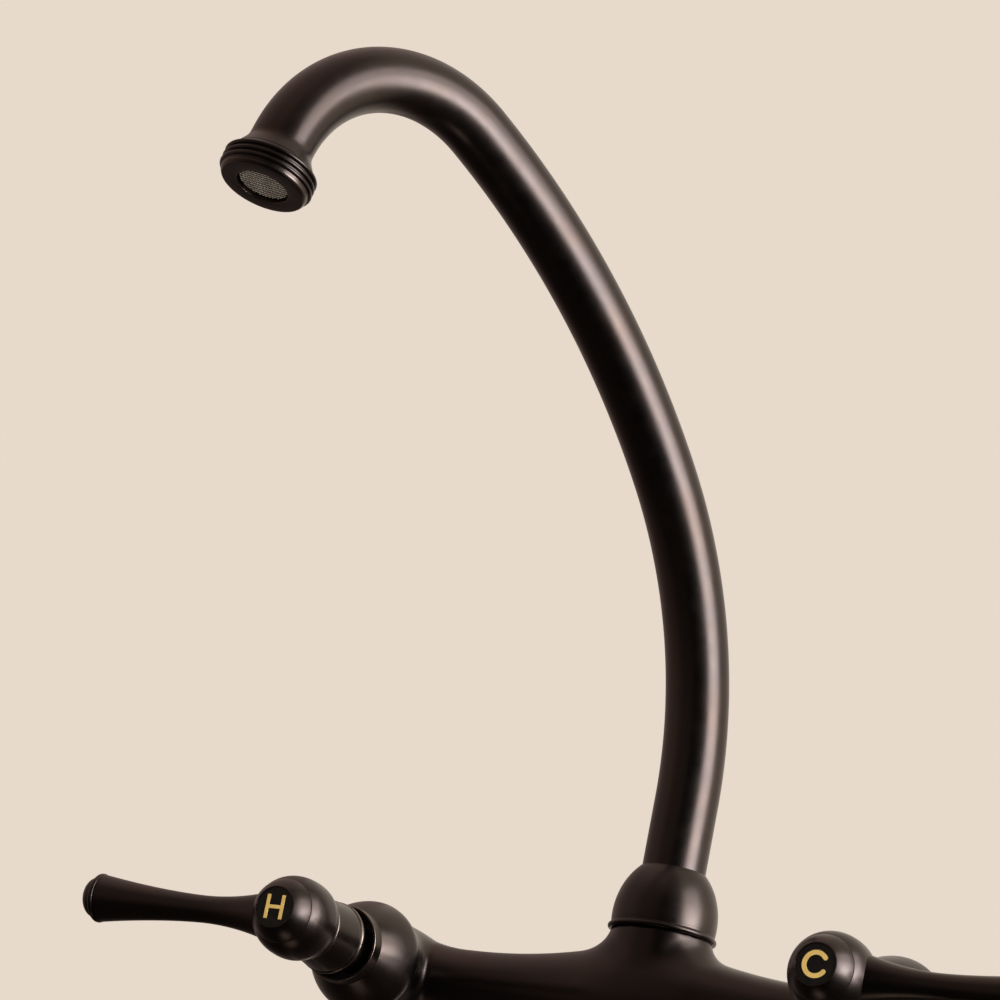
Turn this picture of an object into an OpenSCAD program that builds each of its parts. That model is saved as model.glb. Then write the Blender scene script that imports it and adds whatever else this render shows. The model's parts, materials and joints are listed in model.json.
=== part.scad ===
// Wall-mounted bridge faucet with two lever valves and a high-arc swivel spout.
// Origin: on the wall, midway between the two inlets. +Z is up and the faucet faces -Y.

/* [Bridge] */
// Distance between the hot and cold inlets
centres = 203.2; // [196:0.1:216]
// Distance from the wall to the bridge's centre line
wall_gap = 76; // [66:0.5:90]
// Smallest radius of a bridge arm
arm_r = 11.8; // [10.5:0.1:12.6]
// Radius of the long hollow curve that thickens an arm towards the middle
arm_curve_r = 214; // [190:1:280]
// Radius of the short hollow curve where an arm meets its valve
arm_end_curve_r = 55; // [40:1:80]
// Radius of the neck that carries the spout nut
neck_r = 18; // [17.4:0.1:18.6]
// Height of the neck's shoulder above the centre line
neck_h = 24; // [23:0.1:26]
// Radius of the hollow curve from the neck into the arms
neck_fillet_r = 9; // [6:0.1:9.5]
// Radius of the waterway through the arms
waterway_r = 6; // [4:0.1:7]

/* [Spout] */
// Outside radius of the spout tube
tube_r = 11.55; // [10:0.05:11.8]
// Wall of the spout tube
tube_wall = 1.2; // [0.8:0.1:2]
// Swing of the spout at rest, towards the hot side
spout_swing = 27; // [0:1:40]
// Straight length of tube above the neck's shoulder
riser_len = 50.5; // [40:0.5:90]
// Radius of the first bend
bend_1_r = 186; // [120:1:260]
// Turn of the first bend
bend_1_turn = 37.1; // [20:0.1:40]
// Radius of the long second bend
bend_2_r = 319; // [200:1:400]
// Turn of the second bend
bend_2_turn = 26.1; // [15:0.1:32]
// Radius of the crook at the top
bend_3_r = 55.6; // [40:0.1:70]
// Turn of the crook at the top
bend_3_turn = 103.5; // [90:0.1:112]

/* [Spout nut] */
// Largest radius of the domed nut
dome_r = 19.05; // [18.6:0.05:20.5]
// Height of the full dome over its widest circle
dome_rise = 23.6; // [21:0.1:27]
// Height of the widest circle above the neck's shoulder
dome_skirt_h = 6; // [4.5:0.1:8]
// Radius of the bead round the bottom edge
bead_r = 1; // [0.6:0.05:1.2]

/* [Spout outlet] */
// Radius over the ribs of the outlet housing
rib_r = 17; // [16.4:0.1:19]
// Number of ribs round the outlet housing
rib_count = 3; // [2:1:4]
// Distance from one rib to the next
rib_pitch = 2.3; // [2:0.1:3]
// Radius of the outlet's lower face
outlet_face_r = 15; // [14:0.1:15.6]
// Radius of the outlet opening
outlet_r = 9.6; // [8:0.1:10.4]
// Depth of the outlet opening, from the face to the screen
outlet_depth = 1.8; // [1.5:0.1:3]

/* [Valves] */
// Largest radius of the valve dome
valve_dome_r = 20.5; // [20:0.1:22]
// Distance from the bridge's centre line to the valve dome's widest circle
valve_dome_mid = 27.8; // [26:0.1:30]
// Distance from the bridge's centre line to the front of the valve dome's slope
valve_dome_front = 43.2; // [40:0.1:46]
// Radius of the short sleeve at the valve dome's front
valve_sleeve_r = 14; // [13.8:0.1:14.8]
// Distance from the bridge's centre line to the sleeve's front
valve_sleeve_front = 48.2; // [46.5:0.1:51]
// Radius of the opening in the sleeve
valve_hole_r = 13; // [11:0.1:13.1]
// Radius of the valve body
valve_body_r = 17.3; // [16.8:0.1:18.2]
// Radius of the stem
stem_r = 4; // [3:0.1:4.6]
// Radius of the ceramic discs
disc_r = 7.1; // [6.2:0.1:7.4]
// Thickness of a ceramic disc
disc_t = 2.5; // [2:0.1:3.5]

/* [Handles] */
// Distance from the bridge's centre line to a handle's front face
handle_face = 100.6; // [96:0.1:112]
// Radius of the ball hub
ball_r = 14.6; // [13.4:0.1:15.6]
// Distance from the handle's front face to the middle of the ball
ball_back = 17.9; // [16.5:0.1:19]
// Radius of the index cap where it meets the ball
cap_r = 11.5; // [10.8:0.1:12]
// Height of the index cap
cap_h = 6; // [4.6:0.1:6.4]
// Radius of the index disc
index_r = 7.1; // [6.6:0.1:7.6]
// Radius of the skirt's rear rim
skirt_r = 13.1; // [12.4:0.1:14]
// Distance from the handle's front face to the skirt's rear rim
skirt_back = 45.3; // [43:0.1:48]
// Thinnest radius of the lever
lever_r = 4.9; // [4:0.1:5.6]
// Distance from the valve's axis to the lever's thinnest place
lever_waist = 37.5; // [33:0.5:42]
// Distance from the valve's axis to the end of the lever's flare
lever_len = 79; // [66:0.5:100]
// Radius at the end of the lever's flare
lever_end_r = 8.4; // [7:0.1:10]

/* [Wall connections] */
// Radius of a wall flange
flange_r = 26; // [23:0.5:32]
// Depth of a wall flange
flange_h = 15; // [10:0.5:18]
// Radius of the pipe thread that goes into the wall
inlet_thread_r = 10.65; // [10:0.05:10.65]
// Length of the pipe thread behind the wall's face
inlet_thread_len = 15; // [10:0.5:25]
// Width across the flats of a union nut
union_flats = 33; // [30:0.5:36]

/* [Hidden] */
$fn = 96;

bronze = [0.16, 0.13, 0.12];
brass = [0.72, 0.58, 0.3];
black = [0.04, 0.04, 0.04];
rubber = [0.08, 0.08, 0.09];
plastic = [0.86, 0.86, 0.84];
ceramic = [0.9, 0.88, 0.84];
steel = [0.7, 0.7, 0.7];
gold = [0.9, 0.76, 0.42];

// Clearances: a turning fit, a fixed fit, and the seat of a brazed or screwed joint
run_gap = 0.05;
seat_gap = 0.03;
thread_gap = 0.05;
braze_gap = 0.12;
seam_step = 0.02;
seam_lap = 1;
cut = 1;
hot = -1;
cold = 1;

// Bridge, worked out along an arm from the middle
arm_waist_in = centres / 2 - 31.6;
arm_waist_out = centres / 2 - 27.6;
arm_end = centres / 2 - 10;
arm_steps = 24;
crest_len = neck_r + 4;
crest_edge_r = hollow_r(arm_curve_r, arm_waist_in - crest_len);
crest_slope = (arm_waist_in - crest_len) / sqrt(pow(arm_curve_r, 2) - pow(arm_waist_in - crest_len, 2));
crest_r = crest_edge_r + crest_slope * crest_len / 2;

// Spout socket and nut, measured up from the centre line
boss_r = neck_r - 1.5;
boss_top = neck_h + 9;
socket_r = 12.6;
socket_floor = 9;
nut_bottom = neck_h + 0.1;
dome_mid = neck_h + dome_skirt_h;
nut_hole_r = tube_r + 0.3;
dome_top = dome_mid + dome_rise * sqrt(1 - pow((nut_hole_r + 0.2) / dome_r, 2));
slip_t = 0.9;
flange_t = 2.4;
flange_z = boss_top + slip_t + run_gap;
upper_slip_z = flange_z + flange_t + run_gap;
nut_shoulder = upper_slip_z + slip_t + seat_gap;
slip_r = boss_r - 1.7;
nut_cavity_r = slip_r + 0.4;
ferrule_r = socket_r - run_gap;
ferrule_bottom = socket_floor + 1;
tube_bottom = ferrule_bottom + 12;
o_ring_r = 0.8;
o_ring_grooves = [ferrule_bottom + 3, ferrule_bottom + 7.6];
groove_w = 2.6;
riser_top = neck_h + riser_len;

// Spout outlet, measured along its axis from the end of the crook
collar_back = 0.5;
collar_flare_end = 6.2;
collar_r = 14.8;
collar_thread_r = 13;
tube_end = 4.4;
washer_t = 1.2;
insert_flange_t = 0.8;
housing_top = collar_flare_end + seat_gap;
first_rib = housing_top + 2.2;
outlet_face = first_rib + (rib_count - 1) * rib_pitch + 3.3;
outlet_lip = outlet_face - outlet_depth;
insert_z = outlet_lip - insert_flange_t - seat_gap;
washer_z = insert_z - washer_t;
collar_end = washer_z;
insert_r = min(outlet_r, tube_r - tube_wall) - 0.5;
insert_len = 7;

// Valve, measured forward from the bridge's centre line
dome_thread_r = valve_body_r - 1.3;
dome_rear = 20.5;
boss_front = 33;
chamber_r = 10.5;
seat_z = -8;
seat_web = 3;
inlet_bore_r = 8;
cartridge_r = 8.9;
cartridge_flange_r = chamber_r - thread_gap;
cartridge_flange = [24, 27];
cartridge_rear = seat_z + 2;
disc_chamber_r = disc_r + run_gap;
neck_front = 43.6;
sleeve_r = 8.6;
cartridge_neck_r = stem_r + 2.4;
bonnet_front = 36.5;
bonnet_flats = 26;
fixed_disc_front = 2.4;
stem_foot_rear = fixed_disc_front + run_gap + disc_t;
stem_foot_t = 3;
stem_groove = [17.6, 19.2];

// Rear of the valve and the wall connection, measured back from the centre line
spigot_r = 13.2;
spigot_start = 18;
spigot_end = 30;
union_washer_t = 1.5;
tail_collar_t = 3;
tail_collar_z = spigot_end + union_washer_t;
union_nut_start = 20.5;
union_nut_end = tail_collar_z + tail_collar_t + 4;
tail_bore_r = 8;
shank_r = inlet_thread_r - 0.4;

// Handle, measured forward from the bridge's centre line
ball_z = handle_face - ball_back;
cap_z = handle_face - cap_h;
hub_len = ball_back - cap_h;
hub_stretch = hub_len / sqrt(1 - pow(cap_r / ball_r, 2));
skirt_rear = handle_face - skirt_back;
skirt_front_r = 12.1;
skirt_front = ball_z - sqrt(pow(ball_r, 2) - pow(skirt_front_r, 2));
skirt_throat = skirt_front - 3.3;
hub_boss_r = 7.5;
hub_boss_rear = ball_z - 22;
sleeve_front = hub_boss_rear - 1.2;
recess_r = 9;
recess_floor = ball_z + 3.4;
stem_front = ball_z - 4.8;
screw_r = 2;
screw_head_r = 4.2;
screw_head_t = 2.6;
cap_spigot_len = 3.6;
cap_bow = 0.4;
index_sink = 0.3;
index_t = 0.8;
letter_t = 0.25;
lever_spigot_r = 3.5;
lever_spigot_in = 8;
lever_root = 12;
lever_steps = 28;
tip_len = 7.5;

// Points on an ellipse round (x, y), from angle a to angle b
function ellipse_points(x, y, rx, ry, a, b, n) =
  [for (i = [0:n]) [x + rx * cos(a + (b - a) * i / n), y + ry * sin(a + (b - a) * i / n)]];

// Radius of an arm at distance d from its thinnest place, on a hollow curve of radius r
function hollow_r(r, d) = arm_r + r - sqrt(pow(r, 2) - pow(d, 2));

// Radius of an arm at distance x from the middle: a round crest, then thinnest between two hollow curves
function arm_radius(x) =
  x < crest_len ? crest_r - crest_slope * pow(x, 2) / crest_len / 2 :
  x < arm_waist_in ? hollow_r(arm_curve_r, arm_waist_in - x) :
  x > arm_waist_out ? hollow_r(arm_end_curve_r, x - arm_waist_out) :
  arm_r;

// Radius of the lever at distance s from the valve's axis: a trumpet both ways
function lever_radius(s) =
  s < lever_waist ? lever_r + 2.2 * pow((lever_waist - s) / 20, 2) :
  lever_r + (lever_end_r - lever_r) * pow((s - lever_waist) / (lever_len - lever_waist), 1.7);

// Places its children on a valve's axis, with local z pointing forward and local y up
module on_valve(side) {
  translate([side * centres / 2, -wall_gap, 0])
    rotate([90, 0, 0])
      children();
}

// Places its children on a lever's axis, with local z pointing away from the faucet's middle
module on_lever(side) {
  on_valve(side)
    translate([0, 0, ball_z])
      rotate([0, side * 90, 0])
        children();
}

// Places its children on the spout's axis, turned to the spout's rest swing, local x forward
module on_spout() {
  translate([0, -wall_gap, 0])
    rotate([0, 0, -90 - spout_swing])
      children();
}

module ring(outer, inner, h) {
  difference() {
    cylinder(r = outer, h = h);
    translate([0, 0, -cut])
      cylinder(r = inner, h = h + 2 * cut);
  }
}

// Hexagonal prism with its corners turned down to a circle
module hex_prism(flats, h) {
  intersection() {
    cylinder(r = flats / sqrt(3), h = h, $fn = 6);
    cylinder(r = flats / sqrt(3) * 0.965, h = h);
  }
}

module revolve(points) {
  rotate_extrude()
    polygon(points);
}

// Bridge casting

module arm_solid() {
  xs = [for (i = [-arm_steps:arm_steps]) arm_end * i / arm_steps];
  rotate([0, 90, 0])
    revolve(concat(
      [[0, -arm_end]],
      [for (x = xs) [arm_radius(abs(x)), x]],
      [[0, arm_end]]));
}

// Neck under the spout nut, with a hollow curve into the arms. The curve is turned about z and
// trimmed by the same curve turned about x, so that it fades out at the front and the back.
module hub_solid() {
  fillet_z = neck_h - 0.5;
  sweep = asin(0.92);
  flare = ellipse_points(neck_r + neck_fillet_r, fillet_z, neck_fillet_r, neck_fillet_r, 180, 180 + sweep, 12);
  foot_r = flare[12][0];
  trim_grow = 1.05;
  cylinder(r = neck_r, h = neck_h);
  intersection() {
    revolve(concat([[0, fillet_z]], flare, [[foot_r, 0], [0, 0]]));
    rotate([0, 90, 0])
      for (side = [0, 1])
        mirror([0, 0, side])
          revolve(concat(
            [[0, 0]],
            [for (x = [0:3:15]) [crest_r + (fillet_z * trim_grow - crest_r) * pow(x / neck_r, 2), x]],
            [for (p = flare) [p[1] * trim_grow, p[0]]],
            [[0, foot_r]]));
  }
}

module valve_body_solid() {
  revolve([
    [0, -spigot_end], [spigot_r - 0.8, -spigot_end], [spigot_r, -spigot_end + 0.8], [spigot_r, -spigot_start],
    [valve_body_r - 2.4, -spigot_start], [valve_body_r - 0.9, -spigot_start + 0.8],
    [valve_body_r - 0.2, -spigot_start + 2.6], [valve_body_r, -spigot_start + 5],
    [valve_body_r, -4], [valve_body_r - 0.3, 2], [valve_body_r - 0.6, 8], [valve_body_r - 0.5, 14],
    [valve_body_r, dome_rear], [dome_thread_r, dome_rear], [dome_thread_r, boss_front - 0.6],
    [dome_thread_r - 0.6, boss_front], [0, boss_front]]);
}

module bridge_body() {
  color(bronze)
    difference() {
      union() {
        translate([0, -wall_gap, 0]) {
          arm_solid();
          hub_solid();
          cylinder(r = boss_r, h = boss_top);
        }
        for (side = [hot, cold])
          on_valve(side)
            valve_body_solid();
      }
      // Waterway through both arms, and the way up to the spout
      translate([-centres / 2, -wall_gap, 0])
        rotate([0, 90, 0])
          cylinder(r = waterway_r, h = centres);
      translate([0, -wall_gap, 0])
        cylinder(r = tube_r - tube_wall - 1, h = boss_top + cut);
      translate([0, -wall_gap, socket_floor])
        cylinder(r = socket_r, h = boss_top);
      // Cartridge chamber, seat and inlet of each valve
      for (side = [hot, cold])
        on_valve(side) {
          translate([0, 0, seat_z])
            cylinder(r = chamber_r, h = boss_front - seat_z + cut);
          translate([0, 0, -spigot_end - cut])
            cylinder(r = disc_r - 1.6, h = spigot_end);
          translate([0, 0, -spigot_end - cut])
            cylinder(r = inlet_bore_r, h = spigot_end + cut + seat_z - seat_web);
        }
    }
}

// Spout

module spout_nut() {
  bead_z = nut_bottom + bead_r;
  outline = concat(
    [[nut_hole_r, nut_bottom], [dome_r - 0.6, nut_bottom]],
    ellipse_points(dome_r - 0.25, bead_z, bead_r, bead_r, -75, 75, 8),
    [[dome_r - 0.15, bead_z + bead_r + 0.5]],
    ellipse_points(0, dome_mid, dome_r, dome_rise, 0, acos((nut_hole_r + 0.2) / dome_r), 20),
    [[nut_hole_r, dome_top - 0.2]]);
  color(bronze)
    translate([0, -wall_gap, 0])
      difference() {
        revolve(outline);
        translate([0, 0, nut_bottom - cut])
          cylinder(r = boss_r + thread_gap, h = boss_top - nut_bottom + cut + 0.2);
        translate([0, 0, nut_bottom])
          cylinder(r = nut_cavity_r, h = nut_shoulder - nut_bottom);
      }
}

module slip_washers() {
  color(plastic)
    translate([0, -wall_gap, 0])
      for (z = [boss_top, upper_slip_z])
        translate([0, 0, z])
          ring(slip_r, max(socket_r, nut_hole_r) + 0.3, slip_t);
}

// Spout bar: a straight riser, three bends and the outlet's straight run. Each stretch is a
// hair wider than the one before and reaches a little way into it, so that they join as one.
module spout_run(r, bottom, end) {
  translate([0, 0, bottom])
    cylinder(r = r, h = riser_top + seam_lap - bottom);
  translate([0, 0, riser_top])
    bend(r + seam_step, bend_1_r, bend_1_turn)
      bend(r + 2 * seam_step, bend_2_r, bend_2_turn)
        bend(r + 3 * seam_step, bend_3_r, bend_3_turn)
          cylinder(r = r + 4 * seam_step, h = end);
}

// A bend of a round bar towards local x, with its children placed at the bend's far end
module bend(r, bend_r, turn) {
  translate([bend_r, 0, 0])
    rotate([90, 0, 180])
      rotate_extrude(angle = turn + asin(seam_lap / bend_r))
        translate([bend_r, 0])
          circle(r = r);
  after_bend(bend_r, turn)
    children();
}

module after_bend(bend_r, turn) {
  translate([bend_r * (1 - cos(turn)), 0, bend_r * sin(turn)])
    rotate([0, turn, 0])
      children();
}

// Places its children on the outlet's axis, with local z pointing out of the spout
module on_outlet() {
  on_spout()
    translate([0, 0, riser_top])
      after_bend(bend_1_r, bend_1_turn)
        after_bend(bend_2_r, bend_2_turn)
          after_bend(bend_3_r, bend_3_turn)
            children();
}

module spout_tube() {
  color(bronze)
    on_spout()
      difference() {
        spout_run(tube_r, tube_bottom, tube_end);
        spout_run(tube_r - tube_wall, tube_bottom - cut, tube_end + cut);
      }
}

module spout_ferrule() {
  color(brass)
    on_spout()
      difference() {
        union() {
          translate([0, 0, ferrule_bottom])
            cylinder(r = ferrule_r, h = flange_z + flange_t - ferrule_bottom);
          translate([0, 0, flange_z])
            cylinder(r = slip_r, h = flange_t);
        }
        translate([0, 0, tube_bottom - seat_gap])
          cylinder(r = tube_r + thread_gap, h = flange_z);
        translate([0, 0, ferrule_bottom - cut])
          cylinder(r = tube_r - tube_wall - 0.7, h = flange_z);
        for (z = o_ring_grooves)
          translate([0, 0, z])
            ring(socket_r + cut, ferrule_r - 2 * o_ring_r, groove_w);
      }
}

module spout_o_rings() {
  color(rubber)
    on_spout()
      for (z = o_ring_grooves)
        translate([0, 0, z + groove_w / 2])
          rotate_extrude()
            translate([ferrule_r - o_ring_r, 0])
              circle(r = o_ring_r - 0.01);
}

module nozzle_collar() {
  flare_r = tube_r + 0.3;
  flare_len = collar_back + collar_flare_end;
  flare = [for (i = [0:8])
             [flare_r + (collar_r - flare_r) * pow(i / 8, 1.4), flare_len * i / 8 - collar_back]];
  color(bronze)
    on_outlet()
      difference() {
        revolve(concat(
          [[0, collar_end], [collar_thread_r, collar_end], [collar_thread_r, collar_flare_end],
           [collar_r, collar_flare_end]],
          [for (i = [len(flare) - 2:-1:0]) flare[i]],
          [[0, -collar_back]]));
        translate([0, 0, -collar_back - cut])
          cylinder(r = tube_r + braze_gap, h = collar_back + cut + tube_end + seat_gap);
        cylinder(r = tube_r - tube_wall, h = collar_end + cut);
      }
}

module aerator_housing() {
  groove_r = rib_r - 1;
  ribs = [for (i = [0:rib_count - 1])
            each ellipse_points(groove_r, first_rib + i * rib_pitch, rib_r - groove_r, rib_pitch * 0.36, -80, 80, 8)];
  color(bronze)
    on_outlet()
      difference() {
        revolve(concat(
          [[0, housing_top], [collar_r, housing_top], [collar_r + 0.35, housing_top + 0.3],
           [groove_r - 0.05, first_rib - 0.36 * rib_pitch - 0.1]],
          ribs,
          [[groove_r + 0.15, outlet_face - 1.95], [outlet_face_r + 0.8, outlet_face - 1.2],
           [outlet_face_r + 0.4, outlet_face - 0.4], [outlet_face_r, outlet_face], [0, outlet_face]]));
        translate([0, 0, housing_top - cut])
          cylinder(r = collar_thread_r + thread_gap, h = outlet_lip - housing_top + cut);
        cylinder(r = outlet_r, h = outlet_face + cut);
      }
}

module aerator_washer() {
  color(rubber)
    on_outlet()
      translate([0, 0, washer_z])
        ring(collar_thread_r - 0.1, tube_r - tube_wall, washer_t);
}

module aerator_insert() {
  spokes = 6;
  color(black)
    on_outlet()
      difference() {
        union() {
          translate([0, 0, insert_z])
            cylinder(r = collar_thread_r - 0.1, h = insert_flange_t);
          translate([0, 0, insert_z - insert_len])
            cylinder(r = insert_r, h = insert_len + insert_flange_t);
        }
        translate([0, 0, insert_z - insert_len + 1.6])
          cylinder(r = insert_r - 1, h = insert_len + insert_flange_t);
        for (i = [0:spokes - 1])
          rotate([0, 0, i * 360 / spokes])
            translate([insert_r * 0.6, 0, insert_z - insert_len - cut])
              cylinder(r = 1.5, h = 4);
      }
}

module aerator_screen() {
  wire = 0.35;
  pitch = 1.6;
  reach = insert_r - 1 - seat_gap;
  count = floor(reach / pitch);
  color(steel)
    on_outlet()
      translate([0, 0, outlet_lip - wire - 0.1])
        intersection() {
          cylinder(r = reach, h = 2 * wire);
          union() {
            ring(reach, reach - 0.8, wire);
            for (i = [-count:count]) {
              translate([i * pitch - wire / 2, -reach, 0])
                cube([wire, 2 * reach, wire]);
              translate([-reach, i * pitch - wire / 2, 0])
                cube([2 * reach, wire, wire]);
            }
          }
        }
}

// Wall connections

module wall_flange(side) {
  color(bronze)
    on_valve(side)
      translate([0, 0, -wall_gap])
        difference() {
          flange_shape(flange_r, flange_h, inlet_thread_r + 2.4);
          translate([0, 0, -0.01])
            flange_shape(flange_r - 1.6, flange_h - 1.6, inlet_thread_r + 1);
          translate([0, 0, -cut])
            cylinder(r = inlet_thread_r + 0.25, h = flange_h + 2 * cut);
        }
}

// Bell with a straight rim at the wall and a hollow curve up to its collar
module flange_shape(r, h, top_r) {
  revolve(concat(
    [[0, 0], [r, 0], [r, 1.6]],
    ellipse_points(r - 0.6, h, r - 0.6 - top_r, h - 2.4, 270, 180, 12),
    [[0, h]]));
}

module tailpiece(side) {
  color(brass)
    on_valve(side)
      difference() {
        union() {
          translate([0, 0, -wall_gap - inlet_thread_len])
            cylinder(r = inlet_thread_r, h = inlet_thread_len);
          translate([0, 0, -wall_gap])
            cylinder(r = shank_r, h = wall_gap - tail_collar_z);
          translate([0, 0, -tail_collar_z - tail_collar_t])
            cylinder(r = spigot_r - 0.9, h = tail_collar_t);
        }
        translate([0, 0, -wall_gap - inlet_thread_len - cut])
          cylinder(r = tail_bore_r, h = wall_gap + inlet_thread_len);
      }
}

module union_nut(side) {
  length = union_nut_end - union_nut_start;
  color(bronze)
    on_valve(side)
      translate([0, 0, -union_nut_end])
        difference() {
          union() {
            hex_prism(union_flats, length - 3);
            cylinder(r = union_flats / 2 - 0.6, h = length);
          }
          translate([0, 0, -cut])
            cylinder(r = inlet_thread_r + 0.2, h = length);
          translate([0, 0, union_nut_end - tail_collar_z - tail_collar_t - seat_gap])
            cylinder(r = spigot_r + thread_gap, h = length);
        }
}

module union_washer(side) {
  color(rubber)
    on_valve(side)
      translate([0, 0, -tail_collar_z])
        ring(spigot_r - 0.9, tail_bore_r, union_washer_t);
}

// Cartridge

module cartridge_body(side) {
  ports = 4;
  color(brass)
    on_valve(side)
      difference() {
        union() {
          translate([0, 0, cartridge_rear])
            cylinder(r = cartridge_r, h = cartridge_flange[0] - cartridge_rear);
          translate([0, 0, cartridge_flange[0]])
            cylinder(r = cartridge_flange_r, h = cartridge_flange[1] - cartridge_flange[0]);
          translate([0, 0, cartridge_flange[0]])
            cylinder(r = cartridge_neck_r, h = neck_front - cartridge_flange[0]);
        }
        translate([0, 0, cartridge_rear - cut])
          cylinder(r = disc_chamber_r, h = stem_foot_rear + stem_foot_t + run_gap - cartridge_rear + cut);
        cylinder(r = stem_r + run_gap, h = neck_front + cut);
        for (i = [0:ports - 1])
          rotate([0, 0, 45 + i * 360 / ports])
            translate([0, 0, stem_foot_rear + 1.2])
              rotate([0, 90, 0])
                cylinder(r = 1.9, h = cartridge_r + cut);
      }
}

module seat_seal(side) {
  front = fixed_disc_front - disc_t;
  color(rubber)
    on_valve(side)
      translate([0, 0, seat_z])
        ring(disc_chamber_r - seat_gap, disc_r - 1.8, front - seat_z);
}

// A ceramic disc with two opposite openings, each a quarter turn wide
module disc_shape() {
  difference() {
    cylinder(r = disc_r, h = disc_t);
    for (a = [0, 180])
      rotate([0, 0, a])
        intersection() {
          translate([0, 0, -cut])
            cylinder(r = disc_r - 1.4, h = disc_t + 2 * cut);
          rotate([0, 0, -40])
            translate([0.9, 0.9, -cut])
              cube([disc_r, disc_r, disc_t + 2 * cut]);
        }
  }
}

module fixed_disc(side) {
  color(ceramic)
    on_valve(side)
      translate([0, 0, fixed_disc_front - disc_t])
        disc_shape();
}

module moving_disc(side) {
  color(ceramic)
    on_valve(side)
      translate([0, 0, fixed_disc_front + run_gap])
        rotate([0, 0, 90])
          disc_shape();
}

module stem(side) {
  ridges = 16;
  ridge_start = stem_front - 9;
  color(brass)
    on_valve(side)
      difference() {
        union() {
          translate([0, 0, stem_foot_rear])
            intersection() {
              cylinder(r = disc_r, h = stem_foot_t);
              translate([-disc_r, -3.4, 0])
                cube([2 * disc_r, 6.8, stem_foot_t]);
            }
          translate([0, 0, stem_foot_rear])
            cylinder(r = stem_r, h = ridge_start - stem_foot_rear);
          translate([0, 0, stem_foot_rear])
            cylinder(r = stem_r - 0.4, h = stem_front - stem_foot_rear);
          for (i = [0:ridges - 1])
            rotate([0, 0, i * 360 / ridges])
              translate([0, -0.3, ridge_start - 0.5])
                cube([stem_r - 0.05, 0.6, stem_front - ridge_start + 0.5]);
        }
        translate([0, 0, stem_groove[0]])
          ring(stem_r + cut, stem_r - 1, stem_groove[1] - stem_groove[0]);
        translate([0, 0, stem_front - 10])
          cylinder(r = screw_r + thread_gap, h = 10 + cut);
      }
}

module stem_o_ring(side) {
  color(rubber)
    on_valve(side)
      translate([0, 0, (stem_groove[0] + stem_groove[1]) / 2])
        rotate_extrude()
          translate([stem_r - 0.5, 0])
            circle(r = 0.49);
}

// Hexagonal nut with a long sleeve that reaches into the handle's skirt
module bonnet_nut(side) {
  color(black)
    on_valve(side)
      difference() {
        union() {
          translate([0, 0, boss_front])
            hex_prism(bonnet_flats, bonnet_front - boss_front);
          translate([0, 0, cartridge_flange[1] + seat_gap])
            cylinder(r = chamber_r - thread_gap, h = boss_front - cartridge_flange[1]);
          translate([0, 0, boss_front])
            cylinder(r = sleeve_r, h = sleeve_front - boss_front);
        }
        cylinder(r = cartridge_neck_r + thread_gap, h = neck_front + seat_gap);
        cylinder(r = stem_r + 0.3, h = sleeve_front + cut);
      }
}

module valve_dome(side) {
  power = 1.4;
  depth = valve_dome_front - valve_dome_mid;
  reach = depth / pow(1 - pow(valve_sleeve_r / valve_dome_r, power), 1 / power);
  steps = 14;
  rear_r = valve_dome_r - 2.6;
  rear_depth = valve_dome_mid - dome_rear - seat_gap;
  rear_reach = rear_depth / sqrt(1 - pow(rear_r / valve_dome_r, 2));
  rear = [for (i = [6:-1:1])
            let (z = rear_depth * i / 6)
              [valve_dome_r * sqrt(1 - pow(z / rear_reach, 2)), valve_dome_mid - z]];
  front = [for (i = [0:steps])
             let (z = depth * i / steps)
               [valve_dome_r * pow(1 - pow(z / reach, power), 1 / power), valve_dome_mid + z]];
  color(bronze)
    on_valve(side)
      difference() {
        revolve(concat(
          [[0, dome_rear + seat_gap]],
          rear,
          front,
          [[valve_sleeve_r, valve_sleeve_front - 0.3], [valve_sleeve_r - 0.3, valve_sleeve_front],
           [0, valve_sleeve_front]]));
        cylinder(r = valve_hole_r, h = valve_sleeve_front + cut);
        cylinder(r = dome_thread_r + thread_gap, h = boss_front + 0.3);
        cylinder(r = bonnet_flats / sqrt(3) + 0.4, h = bonnet_front + 0.3);
      }
}

// Handles

module hub_outer(grow) {
  revolve(concat(
    [[0, ball_z - ball_r - grow]],
    ellipse_points(0, ball_z, ball_r + grow, ball_r + grow, -88, 0, 24),
    [for (i = [1:14])
       let (a = asin(hub_len / hub_stretch) * i / 14)
         [(ball_r + grow) * cos(a), ball_z + hub_stretch * sin(a)]],
    [[0, cap_z]]));
}

module handle_hub(side) {
  color(bronze)
    difference() {
      union() {
        on_valve(side)
          hub_outer(0);
        on_valve(side)
          translate([0, 0, hub_boss_rear])
            cylinder(r = hub_boss_r, h = ball_z - hub_boss_rear);
      }
      on_valve(side) {
        translate([0, 0, recess_floor])
          cylinder(r = recess_r + thread_gap, h = cap_z - recess_floor + cut);
        translate([0, 0, hub_boss_rear - cut])
          cylinder(r = stem_r + seat_gap, h = stem_front + seat_gap - hub_boss_rear + cut);
        translate([0, 0, ball_z - 5])
          cylinder(r = screw_r + 0.3, h = 10);
      }
      on_lever(side)
        translate([0, 0, lever_spigot_in - seat_gap])
          cylinder(r = lever_spigot_r + thread_gap, h = ball_r);
    }
}

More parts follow.
